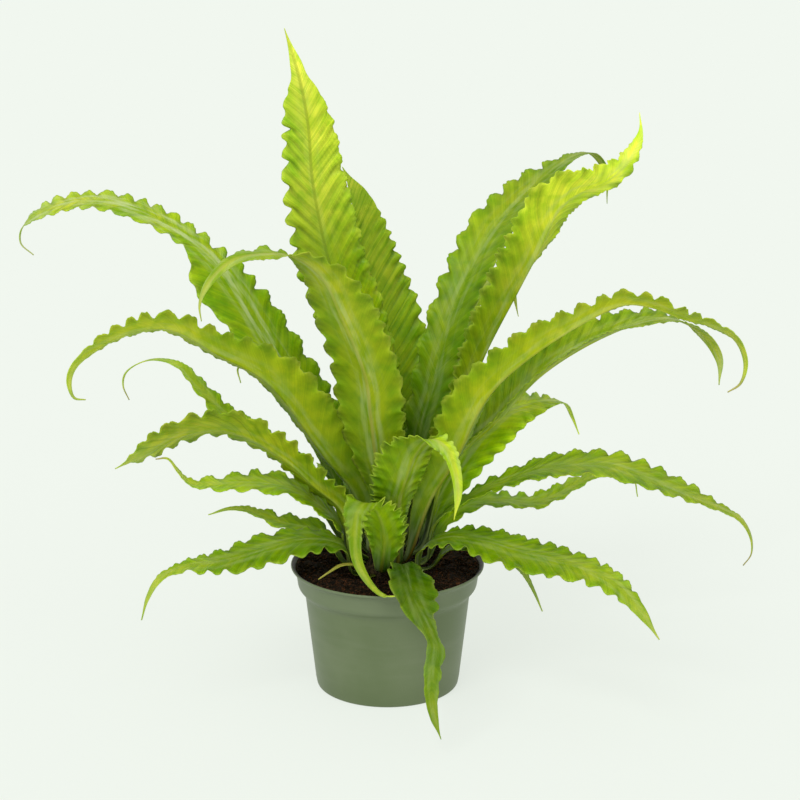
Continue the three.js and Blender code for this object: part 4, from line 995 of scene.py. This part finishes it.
def pot_profile():
    ring_inner = FOOT_RADIUS - FOOT_RING_WIDTH
    return rounded([
        (0, 0), (HUB_RADIUS, 0, 0.6), (HUB_RADIUS + FLOOR_SLOPE, FLOOR_Z, 0.6),
        (ring_inner - FLOOR_SLOPE, FLOOR_Z, 0.8), (ring_inner, 0, 0.6), (FOOT_RADIUS - 2, 0, 0.5),
        (FOOT_RADIUS - 0.3, 0.8, 1.2), (wall_radius(6), 6), (WALL_TOP_RADIUS, STEP_Z, 5),
        (COLLAR_FOOT_RADIUS, COLLAR_FOOT_Z, 5), (COLLAR_TOP_RADIUS, FLARE_Z, 2.0),
        (LIP_RADIUS, POT_HEIGHT - LIP_DEPTH, 0.6), (LIP_RADIUS, POT_HEIGHT, 0.5),
        (LIP_RADIUS - LIP_WIDTH, POT_HEIGHT, 0.5), (COLLAR_TOP_RADIUS - WALL, FLARE_INNER_Z, 1.5),
        (COLLAR_FOOT_RADIUS - WALL, COLLAR_FOOT_Z, 1.5), (WALL_TOP_RADIUS - WALL, STEP_Z, 2.0),
        (wall_radius(FLOOR_TOP) - WALL, FLOOR_TOP, 2.0), (0, FLOOR_TOP),
    ])


# Cuts the ring of drain holes out of the pot's floor.
def cut_drain_holes(piece):
    points = []
    faces = []
    low, high = FLOOR_Z - 2, FLOOR_TOP + 2
    outline = [(0, low), (DRAIN_RADIUS, low), (DRAIN_RADIUS, high), (0, high)]
    rod, rod_faces = revolved(outline, DRAIN_SEGMENTS)
    for i in range(DRAIN_HOLES):
        angle = (i + 0.5) / DRAIN_HOLES * TURN
        faces += shifted(rod_faces, len(points))
        points += (rod + [DRAIN_CIRCLE * math.cos(angle), DRAIN_CIRCLE * math.sin(angle), 0]).tolist()
    cutter = mesh_object("drain_cutter", np.array(points) * MM, faces)
    cut = piece.modifiers.new("drain_holes", "BOOLEAN")
    cut.operation = "DIFFERENCE"
    cut.solver = "EXACT"
    cut.object = cutter
    bpy.context.view_layer.update()
    graph = bpy.context.evaluated_depsgraph_get()
    shaped = bpy.data.meshes.new_from_object(piece.evaluated_get(graph))
    piece.modifiers.clear()
    piece.data = shaped
    bpy.data.objects.remove(cutter)


# Gives a piece its one material.
def cover(piece, material):
    piece.data.materials.clear()
    piece.data.materials.append(material)


def make_pot():
    points, faces = revolved(pot_profile(), POT_SEGMENTS)
    piece = mesh_object("moulded_pot", points * MM, faces)
    cut_drain_holes(piece)
    piece.data.set_sharp_from_angle(angle=40 * RAD)
    cover(piece, pot_material())
    stand_for(piece, "pot")


# Smooth random heights over a plane, from sines with seeded directions, about 0 with swing 1.
def rolling(x, y, length, seed):
    rng = random.Random(seed)
    total = np.zeros_like(x)
    for _ in range(SINES):
        turn = rng.uniform(0, TURN)
        stretch = length * rng.uniform(0.6, 1.7)
        phase = rng.uniform(0, TURN)
        total += np.sin((x * math.cos(turn) + y * math.sin(turn)) * TURN / stretch + phase)
    return total / math.sqrt(SINES)


def soil_height(radius):
    return SOIL_TOP - SOIL_DIP * (1 - smooth(*SOIL_DIP_RADII, radius))


# The soil, its top in rings close together, so that lumps can be raised on it.
def soil_body():
    inset = WALL + GAP
    hole = CROWN_RADIUS + GAP
    edge = COLLAR_TOP_RADIUS - WALL + SOIL_TOP - FLARE_INNER_Z - 1.5 * GAP
    rings = np.arange(edge - 2, hole + 1.5, -SOIL_RING_STEP)
    profile = [(0, FLOOR_TOP + GAP), (wall_radius(FLOOR_TOP) - inset - 2, FLOOR_TOP + GAP),
               (wall_radius(FLOOR_TOP + 2) - inset, FLOOR_TOP + 2 + GAP),
               (WALL_TOP_RADIUS - inset, STEP_Z + GAP), (COLLAR_FOOT_RADIUS - inset, COLLAR_FOOT_Z + GAP),
               (COLLAR_TOP_RADIUS - inset, FLARE_INNER_Z + 0.5 * GAP), (edge, SOIL_TOP)]
    profile += zip(rings, soil_height(rings))
    profile += [(hole, SOIL_TOP - SOIL_DIP), (hole, CROWN_FOOT_Z - GAP), (0, CROWN_FOOT_Z - GAP)]
    points, faces = revolved(profile, POT_SEGMENTS)
    x, y, z = points.T
    radius = np.hypot(x, y)
    field = smooth(edge, edge - 4, radius) * smooth(hole, hole + 3, radius) * (z > SOIL_TOP - SOIL_DIP - 0.5)
    for height, length, seed in SOIL_LUMPS:
        points[:, 2] += field * height * rolling(x, y, length, seed)
    return points, faces


# The corners and faces of a twenty-sided clod: three corners make a face where they are neighbours.
def clod_shape():
    g = (1 + 5 ** 0.5) / 2
    corners = np.array([(-1, g, 0), (1, g, 0), (-1, -g, 0), (1, -g, 0), (0, -1, g), (0, 1, g), (0, -1, -g),
                        (0, 1, -g), (g, 0, -1), (g, 0, 1), (-g, 0, -1), (-g, 0, 1)]) / math.hypot(1, g)
    faces = []
    for a, b, c in itertools.combinations(range(12), 3):
        trio = corners[[a, b, c]]
        if max(np.linalg.norm(trio[i] - trio[i - 1]) for i in range(3)) < 1.2:
            outward = np.dot(np.cross(trio[1] - trio[0], trio[2] - trio[0]), trio.sum(axis=0)) > 0
            faces.append((a, b, c) if outward else (a, c, b))
    return corners, faces


# Loose crumbs of peat and bark over the soil, each a squashed clod turned its own way.
def soil_crumbs():
    rng = random.Random(7)
    corners, clod_faces = clod_shape()
    points = []
    faces = []
    inner, outer = CROWN_RADIUS + 3, COLLAR_TOP_RADIUS - 1.5
    for _ in range(CRUMBS):
        radius = math.sqrt(rng.uniform(inner ** 2, outer ** 2))
        angle = rng.uniform(0, TURN)
        size = 0.55 + 1.5 * rng.random() ** 2.5
        stretch = np.array([rng.uniform(0.7, 1.6), rng.uniform(0.6, 1.1), rng.uniform(0.5, 0.9)])
        turn = rng.uniform(0, TURN)
        shape = corners * size * stretch * np.array([[rng.uniform(0.8, 1.2)] for _ in corners])
        c, s = math.cos(turn), math.sin(turn)
        shape = shape @ np.array([[c, s, 0], [-s, c, 0], [0, 0, 1]])
        z = float(soil_height(radius)) + rng.uniform(-0.3, 0.7)
        faces += shifted(clod_faces, len(points))
        points += (shape + [radius * math.cos(angle), radius * math.sin(angle), z]).tolist()
    return np.array(points), faces


def make_soil():
    points, faces = soil_body()
    crumbs, crumb_faces = soil_crumbs()
    faces = faces + shifted(crumb_faces, len(points))
    piece = mesh_object("peat", np.concatenate([points, crumbs]) * MM, faces)
    cover(piece, earth_material("peat", dark=(28, 20, 10), light=(96, 58, 32), scale=300.0, roughness=0.8))
    stand_for(piece, "soil")


# The crown: a round head with rows of short pointed scales that lie on it.
def make_crown():
    profile = [(0, CROWN_FOOT_Z), (CROWN_RADIUS - 2, CROWN_FOOT_Z), (HEAD_RADIUS, CROWN_FOOT_Z + 2)]
    for angle in range(0, 90, 5):
        x, _, z = HEAD_RADIUS * direction(angle * RAD, 0)
        profile.append((x, CROWN_CENTRE_Z + z))
    profile.append((0, CROWN_CENTRE_Z + HEAD_RADIUS))
    points, faces = revolved(profile, CROWN_SEGMENTS)
    points = points.tolist()
    rng = random.Random(9)
    for row in range(SCALE_ROWS):
        tilt = (4 + 7 * row) * RAD
        count = max(4, int(44 * math.cos(tilt)))
        for k in range(count):
            turn = (k + 0.5 * (row % 2) + rng.uniform(-0.2, 0.2)) / count * TURN
            add_scale(points, faces, tilt, turn, rng)
    piece = mesh_object("crown_scales", np.array(points) * MM, faces)
    cover(piece, earth_material("crown_scales", dark=(46, 36, 20), light=(70, 60, 32), scale=220.0,
                                roughness=0.6))
    stand_for(piece, "crown")


# One flat scale on the crown's head, its point turned up and a little outward.
def add_scale(points, faces, tilt, turn, rng):
    out = direction(tilt, turn)
    side = np.array([-math.sin(turn), math.cos(turn), 0])
    seat = np.array([0, 0, CROWN_CENTRE_Z]) + out * (HEAD_RADIUS - 0.3)
    width = rng.uniform(0.7, 1.1)
    length = rng.uniform(2.4, 3.6)
    corners = [seat - side * width, seat + side * width, seat + out * 0.5, seat - out * 0.2,
               seat + np.cross(out, side) * length + out * 0.6]
    faces.extend(shifted([(0, 4, 2), (2, 4, 1), (1, 4, 3), (3, 4, 0), (0, 2, 3), (2, 1, 3)], len(points)))
    points.extend([c.tolist() for c in corners])


def make_floor():
    points = np.array([(-1, -1, 0), (1, -1, 0), (1, 1, 0), (-1, 1, 0)]) * FLOOR_HALF
    floor = mesh_object("floor", points, [(0, 1, 2, 3)])
    cover(floor, floor_material())


# Soft studio light: an even pale surround, a broad key from the upper left and a low fill from the right.
def make_light():
    world = bpy.data.worlds.new("surround")
    world.use_nodes = True
    world.node_tree.nodes.clear()
    sky = node(world.node_tree, "Background", {"Color": SKY_COLOUR, "Strength": SKY_STRENGTH})
    node(world.node_tree, "OutputWorld", {"Surface": sky.outputs[0]})
    bpy.context.scene.world = world
    add_sun("key", towards=(-0.4, -0.8, 0.9), strength=1.7, spread=30)
    add_sun("fill", towards=(0.7, -0.7, 0.5), strength=0.5, spread=60)


def add_sun(name, towards, strength, spread):
    light = bpy.data.lights.new(name, "SUN")
    light.energy = strength
    light.angle = spread * RAD
    lamp = add_object(name, light)
    x, y, z = np.array(towards) / np.linalg.norm(towards)
    lamp.rotation_euler = (0, math.acos(z), math.atan2(y, x))
    lamp.location = (3 * x, 3 * y, 3 * z)


def make_camera():
    data = bpy.data.cameras.new("camera")
    data.sensor_width = SENSOR
    data.lens = FOCAL_PIXELS / FRAME_PIXELS * SENSOR
    data.clip_start = 0.05
    data.clip_end = 200
    camera = add_object("camera", data)
    camera.location = CAMERA_PLACE
    camera.rotation_euler = ((90 - CAMERA_PITCH) * RAD, 0, 0)
    bpy.context.scene.camera = camera


leaf_sides = (leaf_material("leaf_upper", roughness=0.24, vein_depth=0.0005),
              leaf_material("leaf_under", roughness=0.4, vein_depth=0.0004))
for record in FRONDS:
    make_frond(record, leaf_sides)
make_pot()
make_soil()
make_crown()
make_floor()
make_light()
make_camera()
bpy.context.scene.view_settings.view_transform = "Standard"
